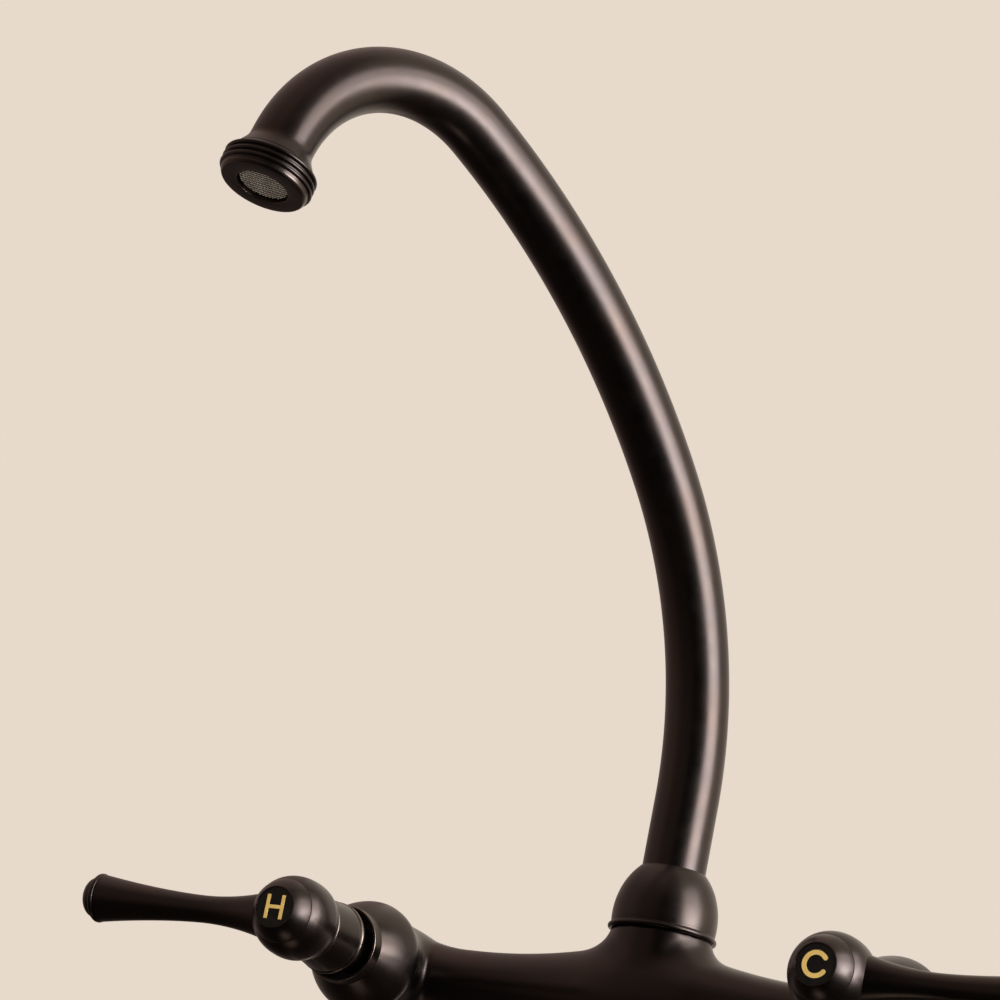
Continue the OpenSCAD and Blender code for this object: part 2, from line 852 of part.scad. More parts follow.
module handle_skirt(side) {
  long = skirt_throat - skirt_rear;
  color(bronze)
    on_valve(side)
      difference() {
        revolve([
          [0, skirt_rear], [skirt_r - 0.3, skirt_rear], [skirt_r, skirt_rear + 0.3], [skirt_r, skirt_rear + 0.9],
          [skirt_r - 0.5, skirt_rear + 1.5], [skirt_r - 0.35, skirt_rear + 0.2 * long],
          [skirt_r - 0.6, skirt_rear + 0.37 * long], [skirt_r - 1.05, skirt_rear + 0.62 * long],
          [skirt_r - 1.45, skirt_rear + 0.83 * long], [skirt_front_r - 0.8, skirt_throat],
          [skirt_front_r - 0.75, skirt_front - 1.6], [skirt_front_r + 0.3, skirt_front - 1.3],
          [skirt_front_r + 0.4, skirt_front - 0.85], [skirt_front_r + 0.3, skirt_front - 0.4],
          [skirt_front_r, skirt_front], [0, skirt_front + 1]]);
        hub_outer(seat_gap);
        translate([0, 0, hub_boss_rear - cut])
          cylinder(r = hub_boss_r + thread_gap, h = ball_z - hub_boss_rear);
        translate([0, 0, skirt_rear - cut])
          cylinder(r = skirt_r - 2.1, h = hub_boss_rear - skirt_rear + cut + 3);
      }
}

module handle_screw(side) {
  color(steel)
    on_valve(side)
      difference() {
        union() {
          translate([0, 0, recess_floor])
            cylinder(r = screw_head_r, h = screw_head_t);
          translate([0, 0, stem_front - 8])
            cylinder(r = screw_r, h = recess_floor - stem_front + 8);
        }
        translate([-0.5, -screw_head_r, recess_floor + screw_head_t - 1])
          cube([1, 2 * screw_head_r, 1 + cut]);
        translate([-screw_head_r, -0.5, recess_floor + screw_head_t - 1])
          cube([2 * screw_head_r, 1, 1 + cut]);
      }
}

module lever(side) {
  ss = [for (i = [0:lever_steps]) lever_root + (lever_len - lever_root) * i / lever_steps];
  color(bronze)
    difference() {
      on_lever(side)
        revolve(concat([[0, lever_root]], [for (s = ss) [lever_radius(s), s]], [[0, lever_len]]));
      on_valve(side)
        hub_outer(seat_gap);
    }
  color(bronze)
    on_lever(side)
      translate([0, 0, lever_spigot_in])
        cylinder(r = lever_spigot_r, h = ball_r);
}

module lever_tip(side) {
  color(bronze)
    on_lever(side)
      translate([0, 0, lever_len + seat_gap])
        revolve(concat(
          [[0, 0], [lever_end_r - 0.9, 0]],
          ellipse_points(lever_end_r - 0.6, 1.4, 1, 1, -80, 80, 8),
          ellipse_points(0, 3, lever_end_r - 1.1, tip_len - 3, 0, 90, 10)));
}

module index_cap(side) {
  rim_r = index_r + 0.35;
  foot_z = cap_z + 0.3;
  rise = handle_face - foot_z;
  run = cap_r - rim_r;
  bow = cap_bow / sqrt(pow(rise, 2) + pow(run, 2));
  slope = [for (i = [0:10])
             let (t = i / 10, out = 4 * t * (1 - t) * bow)
               [cap_r - run * t + out * rise, foot_z + rise * t + out * run]];
  color(bronze)
    on_valve(side)
      difference() {
        union() {
          revolve(concat(
            [[0, cap_z + seat_gap], [cap_r - 0.25, cap_z + seat_gap]],
            slope,
            [[0, handle_face]]));
          translate([0, 0, cap_z - cap_spigot_len])
            cylinder(r = recess_r, h = cap_spigot_len + 1);
        }
        translate([0, 0, handle_face - index_sink - index_t])
          cylinder(r = index_r + seat_gap, h = index_t + cut);
        translate([0, 0, cap_z - cap_spigot_len - cut])
          cylinder(r = recess_r - 1.8, h = cap_spigot_len + cut);
      }
}

module index_disc(side) {
  color(black)
    on_valve(side)
      translate([0, 0, handle_face - index_sink - index_t])
        cylinder(r = index_r, h = index_t);
}

// Raised letter H, built from two posts and a bar
module letter_h() {
  stroke = 1.25;
  post_gap = 5.8;
  height = 8.6;
  for (x = [-post_gap / 2, post_gap / 2])
    translate([x - stroke / 2, -height / 2, 0])
      cube([stroke, height, letter_t]);
  translate([-post_gap / 2, -stroke / 2, 0])
    cube([post_gap, stroke, letter_t]);
}

// Raised letter C, an open ring with round ends
module letter_c() {
  stroke = 1.6;
  mid_r = 3.95;
  opening = 72;
  rotate([0, 0, opening / 2])
    rotate_extrude(angle = 360 - opening)
      translate([mid_r - stroke / 2, 0])
        square([stroke, letter_t]);
  for (a = [-opening / 2, opening / 2])
    translate([mid_r * cos(a), mid_r * sin(a), 0])
      cylinder(r = stroke / 2, h = letter_t);
}

module index_letter(side) {
  color(gold)
    on_valve(side)
      translate([0, 0, handle_face - index_sink])
        if (side == hot)
          letter_h();
        else
          letter_c();
}

bridge_body();
spout_nut();
slip_washers();
spout_tube();
spout_ferrule();
spout_o_rings();
nozzle_collar();
aerator_housing();
aerator_washer();
aerator_insert();
aerator_screen();
wall_flange(hot);  // hot_wall_flange
tailpiece(hot);  // hot_tailpiece
union_nut(hot);  // hot_union_nut
union_washer(hot);  // hot_union_washer
cartridge_body(hot);  // hot_cartridge_body
seat_seal(hot);  // hot_seat_seal
fixed_disc(hot);  // hot_fixed_disc
bonnet_nut(hot);  // hot_bonnet_nut
valve_dome(hot);  // hot_valve_dome
stem(hot);  // hot_stem
moving_disc(hot);  // hot_moving_disc
stem_o_ring(hot);  // hot_stem_o_ring
handle_skirt(hot);  // hot_handle_skirt
handle_hub(hot);  // hot_handle_hub
handle_screw(hot);  // hot_handle_screw
lever(hot);  // hot_lever
lever_tip(hot);  // hot_lever_tip
index_cap(hot);  // hot_index_cap
index_disc(hot);  // hot_index_disc
index_letter(hot);  // hot_index_letter
wall_flange(cold);  // cold_wall_flange
tailpiece(cold);  // cold_tailpiece
union_nut(cold);  // cold_union_nut
union_washer(cold);  // cold_union_washer
cartridge_body(cold);  // cold_cartridge_body
seat_seal(cold);  // cold_seat_seal
fixed_disc(cold);  // cold_fixed_disc
bonnet_nut(cold);  // cold_bonnet_nut
valve_dome(cold);  // cold_valve_dome
stem(cold);  // cold_stem
moving_disc(cold);  // cold_moving_disc
stem_o_ring(cold);  // cold_stem_o_ring
handle_skirt(cold);  // cold_handle_skirt
handle_hub(cold);  // cold_handle_hub
handle_screw(cold);  // cold_handle_screw
lever(cold);  // cold_lever
lever_tip(cold);  // cold_lever_tip
index_cap(cold);  // cold_index_cap
index_disc(cold);  // cold_index_disc
index_letter(cold);  // cold_index_letter
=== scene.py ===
"""Wall-mounted bridge faucet with two lever valves and a high-arc swivel spout.

Lengths in profiles are millimetres; every mesh is placed in metres in the CAD model's frame:
the origin on the wall midway between the inlets, +Z up, the faucet facing -Y.
"""

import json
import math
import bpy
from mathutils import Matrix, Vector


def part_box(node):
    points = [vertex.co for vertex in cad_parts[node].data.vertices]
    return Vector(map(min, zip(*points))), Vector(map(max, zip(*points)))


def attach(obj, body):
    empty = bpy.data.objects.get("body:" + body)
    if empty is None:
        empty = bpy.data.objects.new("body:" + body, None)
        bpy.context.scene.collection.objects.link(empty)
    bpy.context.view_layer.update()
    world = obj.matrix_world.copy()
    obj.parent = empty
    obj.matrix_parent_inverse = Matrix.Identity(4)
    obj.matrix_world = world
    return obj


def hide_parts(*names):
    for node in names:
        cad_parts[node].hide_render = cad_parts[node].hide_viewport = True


bl_info = {
    "name": "Bridge faucet",
    "version": (1, 0, 0),
    "blender": (4, 5, 0),
    "location": "3D View > Sidebar > Faucet",
    "description": "Surfaces, materials, lamps and camera for a wall-mounted bridge faucet",
    "category": "Add Mesh",
}

import bmesh
import bpy
import numpy as np
from bpy.props import FloatProperty, FloatVectorProperty, IntProperty, PointerProperty
from bpy.types import Operator, Panel, PropertyGroup
from mathutils import Matrix

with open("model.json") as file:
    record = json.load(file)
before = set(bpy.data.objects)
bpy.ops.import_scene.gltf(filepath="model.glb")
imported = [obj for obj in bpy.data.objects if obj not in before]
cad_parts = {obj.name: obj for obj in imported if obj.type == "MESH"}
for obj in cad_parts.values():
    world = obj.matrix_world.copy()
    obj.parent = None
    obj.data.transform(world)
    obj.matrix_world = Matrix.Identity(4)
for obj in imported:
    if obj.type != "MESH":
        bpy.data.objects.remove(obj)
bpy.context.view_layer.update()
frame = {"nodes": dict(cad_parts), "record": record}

MM = 0.001
# Which way along x each valve lies
SIDES = {"hot": -1, "cold": 1}
# Points round a turned piece
AROUND = 96
# Edges bent by more than this stay crisp
SHARP = math.radians(38)
# Metres within which points are welded, and the least divisor
TINY = 1e-6
# Millimetres within which two points of a profile are one
SAME_SPOT = 1e-4
# Bends of a corner, in degrees, where the edge mark starts and where it is full, and the size, in
# millimetres, where it is full. The mark is partly real rubbing and partly a painted highlight.
RUB_AND_GLINT_FROM, RUB_AND_GLINT_FULL, RUB_AND_GLINT_SIZE = 15.0, 45.0, 0.25
# Play in millimetres between turned pieces that meet
PLAY = 0.03
# Steps of the straight end of the spout's line
END_STEPS = 2
X_AXIS, Y_AXIS = np.array([[1.0, 0, 0]]), np.array([[0, 1.0, 0]])


def middle(node):
    """Middle of a CAD node's box, in metres."""
    low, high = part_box(node)
    return (np.array(low) + np.array(high)) / 2


INLET_X = float(middle("cold_stem")[0])
BRIDGE_Y = float(middle("spout_ferrule")[1])
LEVER_Y = float(middle("cold_lever_tip")[1])


# Sizes and finishes that a user would change


def length(name, value, description):
    """A length in metres, written in millimetres."""
    return FloatProperty(
        name=name, description=description, default=value * MM, min=0.0,
        unit="LENGTH", subtype="DISTANCE", precision=5,
    )


def angle(name, value, description):
    """An angle in radians, written in degrees."""
    return FloatProperty(
        name=name, description=description, default=math.radians(value), subtype="ANGLE",
    )


def colour(name, value, description):
    """A linear red, green and blue colour."""
    return FloatVectorProperty(
        name=name, description=description, default=value, min=0.0, max=1.0, size=3, subtype="COLOR",
    )


def factor(name, value, description):
    """A share between 0 and 1."""
    return FloatProperty(
        name=name, description=description, default=value, min=0.0, max=1.0, subtype="FACTOR",
    )


class FaucetBridge(PropertyGroup):
    arm_r: length("Arm radius", 11.8, "Smallest radius of a bridge arm")
    crest_r: length("Crest radius", 19.78, "Radius of the arms in the middle")
    neck_r: length("Neck radius", 18.0, "Radius of the neck under the spout nut")
    neck_h: length("Neck height", 24.0, "Neck's shoulder over the centre line")
    neck_blend: length("Neck blend", 11.0, "Soft hollow between the neck and the arms")
    valve_r: length("Valve body radius", 17.3, "Radius of a valve body")
    valve_blend: length("Valve blend", 3.0, "Soft hollow between an arm and its valve")
    skin_step: length("Skin step", 0.85, "Distance between points of the casting's skin")


class FaucetSpout(PropertyGroup):
    tube_r: length("Tube radius", 11.55, "Outside radius of the spout tube")
    tube_wall: length("Tube wall", 1.2, "Wall of the spout tube")
    riser_top: length("Riser top", 74.5, "Height at which the straight riser ends")
    bend_1_r: length("First bend", 186.0, "Radius of the first bend")
    bend_1_turn: angle("First turn", 37.1, "Turn of the first bend")
    bend_2_r: length("Second bend", 319.0, "Radius of the long second bend")
    bend_2_turn: angle("Second turn", 26.1, "Turn of the second bend")
    bend_3_r: length("Crook", 55.6, "Radius of the crook at the top")
    bend_3_turn: angle("Crook turn", 103.5, "Turn of the crook")
    swing: angle("Swing", 27.0, "Swing at rest, towards the hot side")
    dome_r: length("Nut radius", 19.05, "Widest radius of the domed spout nut")
    dome_rise: length("Nut rise", 23.6, "Nut's full dome over its widest circle")
    rib_r: length("Rib radius", 17.0, "Radius over the ribs of the outlet housing")
    rib_pitch: length("Rib pitch", 2.3, "Distance from one rib to the next")
    rib_count: IntProperty(
        name="Ribs", description="Number of ribs round the outlet housing", default=3, min=1,
    )
    outlet_r: length("Outlet radius", 9.6, "Radius of the outlet opening")
    mesh_pitch: length("Mesh pitch", 0.85, "Distance between the wires of the outlet screen")
    wire_r: length("Wire radius", 0.14, "Radius of a wire of the outlet screen")


class FaucetHandles(PropertyGroup):
    dome_r: length("Valve dome radius", 20.5, "Widest radius of a valve dome")
    dome_front: length("Valve dome slope", 43.2, "From the centre line to the front of the slope")
    sleeve_r: length("Sleeve radius", 14.0, "Radius of the sleeve at a valve dome's front")
    sleeve_front: length("Sleeve front", 48.2, "From the centre line to the sleeve's front")
    face: length("Handle face", 100.6, "From the centre line to a handle's front face")
    ball_r: length("Ball radius", 14.6, "Radius of the ball hub")
    ball_back: length("Ball depth", 17.9, "From the handle's face to the middle of the ball")
    cap_r: length("Cap radius", 11.5, "Radius of the index cap on the ball")
    cap_h: length("Cap height", 6.0, "Height of the index cap")
    index_r: length("Index radius", 7.1, "Radius of the black index disc")
    skirt_r: length("Skirt radius", 13.1, "Radius of the skirt's rear rim")
    lever_r: length("Lever radius", 4.9, "Thinnest radius of a lever")
    lever_waist: length("Lever waist", 37.5, "From the valve's axis to the thinnest place")
    lever_len: length("Lever length", 79.0, "From the valve's axis to the end of the flare")
    lever_end_r: length("Lever end radius", 8.4, "Radius at the end of the lever's flare")


class FaucetWall(PropertyGroup):
    flange_r: length("Flange radius", 26.0, "Radius of a wall flange")
    flange_h: length("Flange depth", 15.0, "Depth of a wall flange")
    thread_r: length("Thread radius", 10.65, "Radius of the pipe thread in the wall")
    thread_len: length("Thread length", 15.0, "Length of the pipe thread in the wall")
    thread_pitch: length("Thread pitch", 1.814, "Pitch of the pipe thread")
    flats: length("Nut size", 33.0, "Width across the flats of a union nut")


class FaucetFinish(PropertyGroup):
    bronze: colour("Bronze", (0.060, 0.050, 0.047), "Dark satin bronze")
    bronze_warm: colour("Warm bronze", (0.066, 0.051, 0.044), "Slightly browner areas of the bronze")
    # Colour of the edge mark: bronze scuffed to copper, and a painted highlight along the edges
    worn_and_glint: colour("Worn edge", (0.34, 0.27, 0.22), "Bronze rubbed bright along its edges")
    roughness: factor("Roughness", 0.31, "Mean roughness of the satin bronze")
    gold: colour("Gold", (0.83, 0.60, 0.19), "Gilded index letters")
    brass: colour("Brass", (0.62, 0.44, 0.17), "Unplated brass")


class FaucetStage(PropertyGroup):
    backdrop: colour("Backdrop", (0.80, 0.70, 0.60), "Pale backdrop and floor")
    floor_z: length("Floor", 1000.0, "Depth of the floor under the faucet's centre line")
    lens: FloatProperty(
        name="Lens", description="Focal length", default=162.5817, min=1.0, subtype="DISTANCE_CAMERA",
    )


def sizes(group, names):
    """The named lengths of a group, in millimetres."""
    return [getattr(group, name) / MM for name in names.split()]


# Numpy surfaces


def arc(x, z, rx, rz, start, end, steps):
    """Profile points on an ellipse: x + rx cos a, z + rz sin a, for a from start to end degrees."""
    a = np.radians(np.linspace(start, end, steps + 1))
    return np.column_stack([x + rx * np.cos(a), z + rz * np.sin(a)])


def outline(*parts):
    """Profile rows of radius, height and corner size, from single corners and whole curves. A
    size left out is 0."""
    rows = [np.atleast_2d(np.asarray(part, float)) for part in parts]
    return np.vstack([np.column_stack([r, 0 * r[:, 0]]) if r.shape[1] == 2 else r for r in rows])


def eased(rows, closed, steps=6):
    """Rounds the corners of a profile.

    A corner P of size e becomes the curve (1-t)^2 A + 2t(1-t) P + t^2 B, where A and B lie on
    its two edges at the distance e from P, or at 45% of a shorter edge. The wear of a
    point is 4t(1-t) on a corner that stands out, less on a blunt or a small one, and 0 elsewhere;
    the bronze paints it partly as real rubbing and partly as a painted highlight along the edge.
    """
    points, size = rows[:, :2], rows[:, 2].copy()
    if not closed:
        size[[0, -1]] = 0
    back, ahead = np.roll(points, 1, 0) - points, np.roll(points, -1, 0) - points
    reach = [
        np.minimum(1, np.minimum(size, 0.45 * np.hypot(*edge.T)) / np.maximum(np.hypot(*edge.T), TINY))
        for edge in (back, ahead)
    ]
    a, b = points + back * reach[0][:, None], points + ahead * reach[1][:, None]
    t = np.linspace(0, 1, steps)[None, :, None]
    curve = (1 - t) ** 2 * a[:, None] + 2 * t * (1 - t) * points[:, None] + t**2 * b[:, None]
    stands_out = (size > 0) & (ahead[:, 0] * back[:, 1] - ahead[:, 1] * back[:, 0] > 0)
    both = np.maximum(np.hypot(*back.T) * np.hypot(*ahead.T), TINY)
    bent = np.degrees(np.arccos(np.clip(-(back * ahead).sum(1) / both, -1, 1)))
    keen = np.clip((bent - RUB_AND_GLINT_FROM) / (RUB_AND_GLINT_FULL - RUB_AND_GLINT_FROM), 0, 1)
    share = stands_out * keen * np.clip(size / RUB_AND_GLINT_SIZE, 0, 1)
    # Edge mark: real rubbing and a painted highlight along corners that stand out
    wear = 4 * t[:, :, 0] * (1 - t[:, :, 0]) * share[:, None]
    flat, wear = curve.reshape(-1, 2), wear.ravel()
    step = np.hypot(*(flat - np.roll(flat, 1, 0)).T)
    keep = step > SAME_SPOT
    keep[0] = keep[0] or not closed
    return flat[keep], wear[keep]


class Place:
    """An origin in metres and three local axes; a local point (x, y, z) in millimetres goes to
    origin + x X + y Y + z Z."""

    def __init__(self, origin, x_axis, y_axis, z_axis):
        self.origin = np.array(origin, float)
        self.axes = np.array([x_axis, y_axis, z_axis], float)

    def put(self, points):
        return self.origin + MM * points @ self.axes


def on_bridge():
    return Place((0, BRIDGE_Y, 0), (1, 0, 0), (0, 1, 0), (0, 0, 1))


def on_valve(side):
    """Local z points forward out of the valve, and local y up."""
    return Place((side * INLET_X, BRIDGE_Y, 0), (1, 0, 0), (0, 0, 1), (0, -1, 0))


def on_lever(side):
    """Local z points along the lever, away from the faucet's middle."""
    return Place((side * INLET_X, LEVER_Y, 0), (0, side, 0), (0, 0, 1), (side, 0, 0))


def on_spout(spout):
    """Local x points forward along the spout at rest, and local z up."""
    forward = np.array([-math.sin(spout.swing), -math.cos(spout.swing), 0])
    return Place((0, BRIDGE_Y, 0), forward, np.cross((0, 0, 1), forward), (0, 0, 1))


def grid_faces(rows, columns, closed):
    """Four-sided faces between the rows of a grid whose columns go all the way round."""
    i, a = np.meshgrid(np.arange(rows if closed else rows - 1), np.arange(columns), indexing="ij")
    up, on = (i + 1) % rows, (a + 1) % columns
    quads = np.stack([i * columns + a, i * columns + on, up * columns + on, up * columns + a], -1)
    return quads.reshape(-1, 4)


def rings(centre, across, aside, radius):
    """Points C(i) + R(i, a) (U(i) cos a + V(i) sin a) of rings carried along a line."""
    a = np.arange(AROUND) * 2 * math.pi / AROUND
    radius = np.broadcast_to(radius.reshape(len(centre), -1), (len(centre), AROUND))
    spoke = np.cos(a)[None, :, None] * across[:, None] + np.sin(a)[None, :, None] * aside[:, None]
    return (centre[:, None] + radius[:, :, None] * spoke).reshape(-1, 3)


def add_object(name, data):
    """A new object in the scene."""
    made = bpy.data.objects.new(name, data)
    bpy.context.scene.collection.objects.link(made)
    return made


def add_mesh(name, points, faces, finish, **values):
    """A new mesh in the scene, with its finish and the values that its points carry."""
    mesh = bpy.data.meshes.new(name)
    mesh.from_pydata(points.reshape(-1, 3).tolist(), [], faces.tolist())
    for key, value in values.items():
        data = mesh.attributes.new(key, "FLOAT", "POINT").data
        data.foreach_set("value", value.astype(np.float32).ravel())
    mesh.materials.append(finish)
    return add_object(name, mesh)


def new_piece(name, points, faces, body, nodes, slot, **values):
    """A piece of welded points, smooth but for its sharp edges, on its CAD body and with the
    finish of its material slot."""
    piece = add_mesh(name, points, faces, make_finishes()[slot], **values)
    mesh = piece.data
    work = bmesh.new()
    work.from_mesh(mesh)
    bmesh.ops.remove_doubles(work, verts=work.verts, dist=TINY)
    work.to_mesh(mesh)
    work.free()
    mesh.shade_smooth()
    mesh.set_sharp_from_angle(angle=SHARP)
    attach(piece, body)
    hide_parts(*nodes)


def turned(name, rows, place, body, nodes, slot="bronze", shape=None):
    """A turned piece: P(i, a) = (R cos a, R sin a, z), with R the profile's radius, or
    shape(r, z, a) where it isn't round. A profile closes on itself unless both ends are on the
    axis."""
    closed = max(rows[0, 0], rows[-1, 0]) > TINY
    profile, wear = eased(rows, closed)
    r, z = profile.T
    a = np.arange(AROUND) * 2 * math.pi / AROUND
    radius = r[:, None] + 0 * a if shape is None else shape(r[:, None], z[:, None], a[None, :])
    points = place.put(rings(np.column_stack([0 * z, 0 * z, z]), X_AXIS, Y_AXIS, radius))
    new_piece(name, points, grid_faces(len(z), AROUND, closed), body, nodes, slot,
              wear=np.repeat(wear, AROUND))


def skin(field, low, high, step):
    """Closed skin round the places where field(points) is below zero.

    The field is read on a cubic grid. Each cell that the skin crosses gets one point, the mean
    of the crossings on its edges, and each crossed grid edge gets one face between the four
    cells round it. The points are then evened out and slid along the field's slope to where the
    field is zero, three times over.
    """
    axes = [np.arange(a, b + step, step) for a, b in zip(low, high)]
    size = [len(axis) for axis in axes]
    value = field(np.stack(np.meshgrid(*axes, indexing="ij"), -1).reshape(-1, 3)).reshape(size)
    inside = value < 0
    cells = [n - 1 for n in size]
    total, count = np.zeros((*cells, 3)), np.zeros(cells)
    crossed = []
    for axis in range(3):
        unit = np.eye(3, dtype=int)[axis]
        spot = np.argwhere(np.diff(inside, axis=axis))
        near, far = tuple(spot.T), tuple((spot + unit).T)
        v0, v1 = value[near], value[far]
        crossing = spot + unit * (v0 / (v0 - v1))[:, None]
        quad = []
        for shift in ((0, 0), (-1, 0), (-1, -1), (0, -1)):
            cell = spot.copy()
            cell[:, unit == 0] += shift
            quad.append(cell)
            np.add.at(total, tuple(cell.T), crossing)
            np.add.at(count, tuple(cell.T), 1)
        outward = inside[near] == (axis != 1)
        quad = np.stack(quad, 1)
        crossed.append(np.where(outward[:, None, None], quad, quad[:, ::-1]))
    used = count > 0
    number = np.cumsum(used).reshape(cells) - 1
    points = np.array(low) + step * total[used] / count[used][:, None]
    faces = number[tuple(np.moveaxis(np.vstack(crossed), -1, 0))]
    for _ in range(3):
        points = slide(field, relax(points, faces), 3)
    return points, faces


def slope(field, points, reach=0.02):
    """Field's slope by central differences."""
    shifts = reach * np.eye(3)
    return np.stack([field(points + s) - field(points - s) for s in shifts], -1) / (2 * reach)


def slide(field, points, times, longest=0.5, flattest=0.05):
    """Newton steps P - f g / |g|^2 along the slope g, none over the longest, in millimetres, and
    with |g|^2 never under the flattest."""
    for _ in range(times):
        g = slope(field, points)
        move = field(points)[:, None] * g / np.maximum((g * g).sum(1), flattest)[:, None]
        far = np.linalg.norm(move, axis=1, keepdims=True)
        points = points - move * np.minimum(1, longest / np.maximum(far, TINY))
    return points


def relax(points, faces):
    """Moves each point halfway to the mean of its faces' corners."""
    total, count = np.zeros_like(points), np.zeros(len(points))
    mean = points[faces].mean(1)
    for corner in faces.T:
        np.add.at(total, corner, mean)
        np.add.at(count, corner, 1)
    return 0.5 * points + 0.5 * total / count[:, None]


def soft_min(a, b, k):
    """Smaller of two distances, less h^2 k / 4 with h = 1 - |a - b| / k where they are within k."""
    h = np.maximum(k - np.abs(a - b), 0) / np.maximum(k, TINY)
    return np.minimum(a, b) - h * h * k / 4


def soft_max(a, b, k):
    """Larger of two distances, rounded where they are within k."""
    return -soft_min(-a, -b, k)


def span(value, low, high):
    """Distance outside the span from low to high: |value - middle| - half the span."""
    return np.abs(value - (low + high) / 2) - (high - low) / 2


# Materials


class Tree:
    """The shader nodes of a material or of the world."""

    def __init__(self, owner):
        owner.use_nodes = True
        self.nodes, self.links = owner.node_tree.nodes, owner.node_tree.links

    def feed(self, socket, value):
        """Links a socket to another one, or sets it to a number or a colour."""
        if isinstance(value, bpy.types.NodeSocket):
            self.links.new(value, socket)
        elif isinstance(value, (int, float)):
            socket.default_value = value
        else:
            socket.default_value = (*value, 1)

    def add(self, kind, **inputs):
        """A new node with its inputs."""
        node = self.nodes.new("ShaderNode" + kind)
        for name, value in inputs.items():
            self.feed(node.inputs[name.replace("_", " ")], value)
        return node

    def attribute(self, name):
        """A value that the mesh carries at its points."""
        node = self.add("Attribute")
        node.attribute_name = name
        return node.outputs["Fac"]

    def spread(self, value, low, high, out_low=0.0, out_high=1.0):
        """Maps low..high of a value to out_low..out_high."""
        node = self.add("MapRange", Value=value, From_Min=low, From_Max=high, To_Min=out_low, To_Max=out_high)
        return node.outputs["Result"]

    def math(self, operation, a, b):
        """Two values, each a number or a socket, put together."""
        node = self.add("Math")
        node.operation = operation
        for socket, value in zip(node.inputs, (a, b)):
            self.feed(socket, value)
        return node.outputs[0]

    def mix(self, share, a, b):
        """Mixes two colours, each a colour or a socket."""
        node = self.add("Mix", Factor=share)
        node.data_type = "RGBA"
        for socket, value in ((node.inputs[6], a), (node.inputs[7], b)):
            self.feed(socket, value)
        return node.outputs[2]


class Finish(Tree):
    """A material with a Principled shader and Object coordinates in millimetres."""

    def __init__(self, name):
        self.material = bpy.data.materials.new(name)
        super().__init__(self.material)
        self.shader = self.nodes["Principled BSDF"]
        self.place = self.add("Mapping", Vector=self.add("TexCoord").outputs["Object"])
        self.place.inputs["Scale"].default_value = (1000, 1000, 1000)

    def noise(self, size, detail=3.0, roughness=0.5, distortion=0.0):
        """Noise whose patches are about size millimetres across."""
        node = self.add("TexNoise", Vector=self.place.outputs[0], Scale=1 / size, Detail=detail,
                        Roughness=roughness, Distortion=distortion)
        return node.outputs["Fac"]

    def bump(self, height, strength, distance):
        """Bump of so many millimetres."""
        node = self.add("Bump", Strength=strength, Distance=distance * MM, Height=height)
        self.drive(Normal=node.outputs[0])

    def drive(self, **sockets):
        """Sets or links the shader's sockets."""
        for name, value in sockets.items():
            self.feed(self.shader.inputs[name.replace("_", " ")], value)


def grey(tone):
    """A colour of equal red, green and blue."""
    return (tone, tone, tone)


def dulled(tone, share):
    """A share of a colour."""
    return tuple(share * c for c in tone)


def satin_bronze(name, finish, grain):
    """Dark bronze: faint brown patches, a fine satin grain, and edges brightened partly by real rubbing and
    partly by a painted highlight.
    """
    f = Finish(name)
    patches = f.spread(f.noise(18, 4, 0.6, 0.4), 0.35, 0.7)
    fine = f.noise(0.5, 2, 0.6)
    # Edge mark: real rubbing and a painted highlight, mixed into the colour below
    rubbed_and_glinting = f.math("MULTIPLY", f.attribute("wear"), f.spread(f.noise(4, 3), 0.3, 0.6, 0.45, 1))
    base = f.mix(patches, finish.bronze, finish.bronze_warm)
    mean = finish.roughness
    rough = f.math("ADD", f.spread(f.noise(6, 3), 0.3, 0.7, mean - 0.03, mean + 0.03),
                   f.spread(fine, 0.3, 0.7, -0.01, 0.01))
    f.drive(Base_Color=f.mix(rubbed_and_glinting, base, finish.worn_and_glint), Metallic=1.0,
            Roughness=f.math("SUBTRACT", rough, f.math("MULTIPLY", rubbed_and_glinting, 0.06)))
    f.bump(fine, grain, 0.01)
    return f.material


def turned_metal(name, tone, roughness, spread_to):
    """Bare machined metal: tone varies a little, with a fine tool grain."""
    f = Finish(name)
    f.drive(Base_Color=f.mix(f.spread(f.noise(5, 4), 0.3, 0.7), tone, dulled(tone, 0.8)), Metallic=1.0,
            Roughness=f.spread(f.noise(1.5, 3), 0.3, 0.7, roughness, spread_to))
    f.bump(f.noise(0.3, 2), 0.25, 0.02)
    return f.material


def woven(name, tone, dip_shade):
    """Woven wire: a painted highlight where a wire comes to the front and painted shade where it dips under
    the other set.
    """
    f = Finish(name)
    # Painted highlight on the crests of the wires, with painted shade in the dips
    front = f.math("MULTIPLY", f.attribute("wear"), f.spread(f.noise(2.5, 3), 0.3, 0.6, 0.75, 1))
    f.drive(Base_Color=f.mix(front, dip_shade, tone), Metallic=0.35, Roughness=f.spread(front, 0, 1, 0.7, 0.4))
    f.bump(f.noise(0.2, 2), 0.2, 0.01)
    return f.material


def moulded(name, tone, other, roughness, size, strength, gloss):
    """Rubber, plastic, ceramic or enamel: a fine mottled grain and an uneven gloss."""
    f = Finish(name)
    f.drive(Base_Color=f.mix(f.spread(f.noise(3, 3), 0.35, 0.65), tone, other),
            Roughness=f.spread(f.noise(2, 2), 0.3, 0.7, roughness - 0.05, roughness + 0.05),
            Specular_IOR_Level=gloss)
    f.bump(f.noise(size, 2), strength, 0.03)
    return f.material


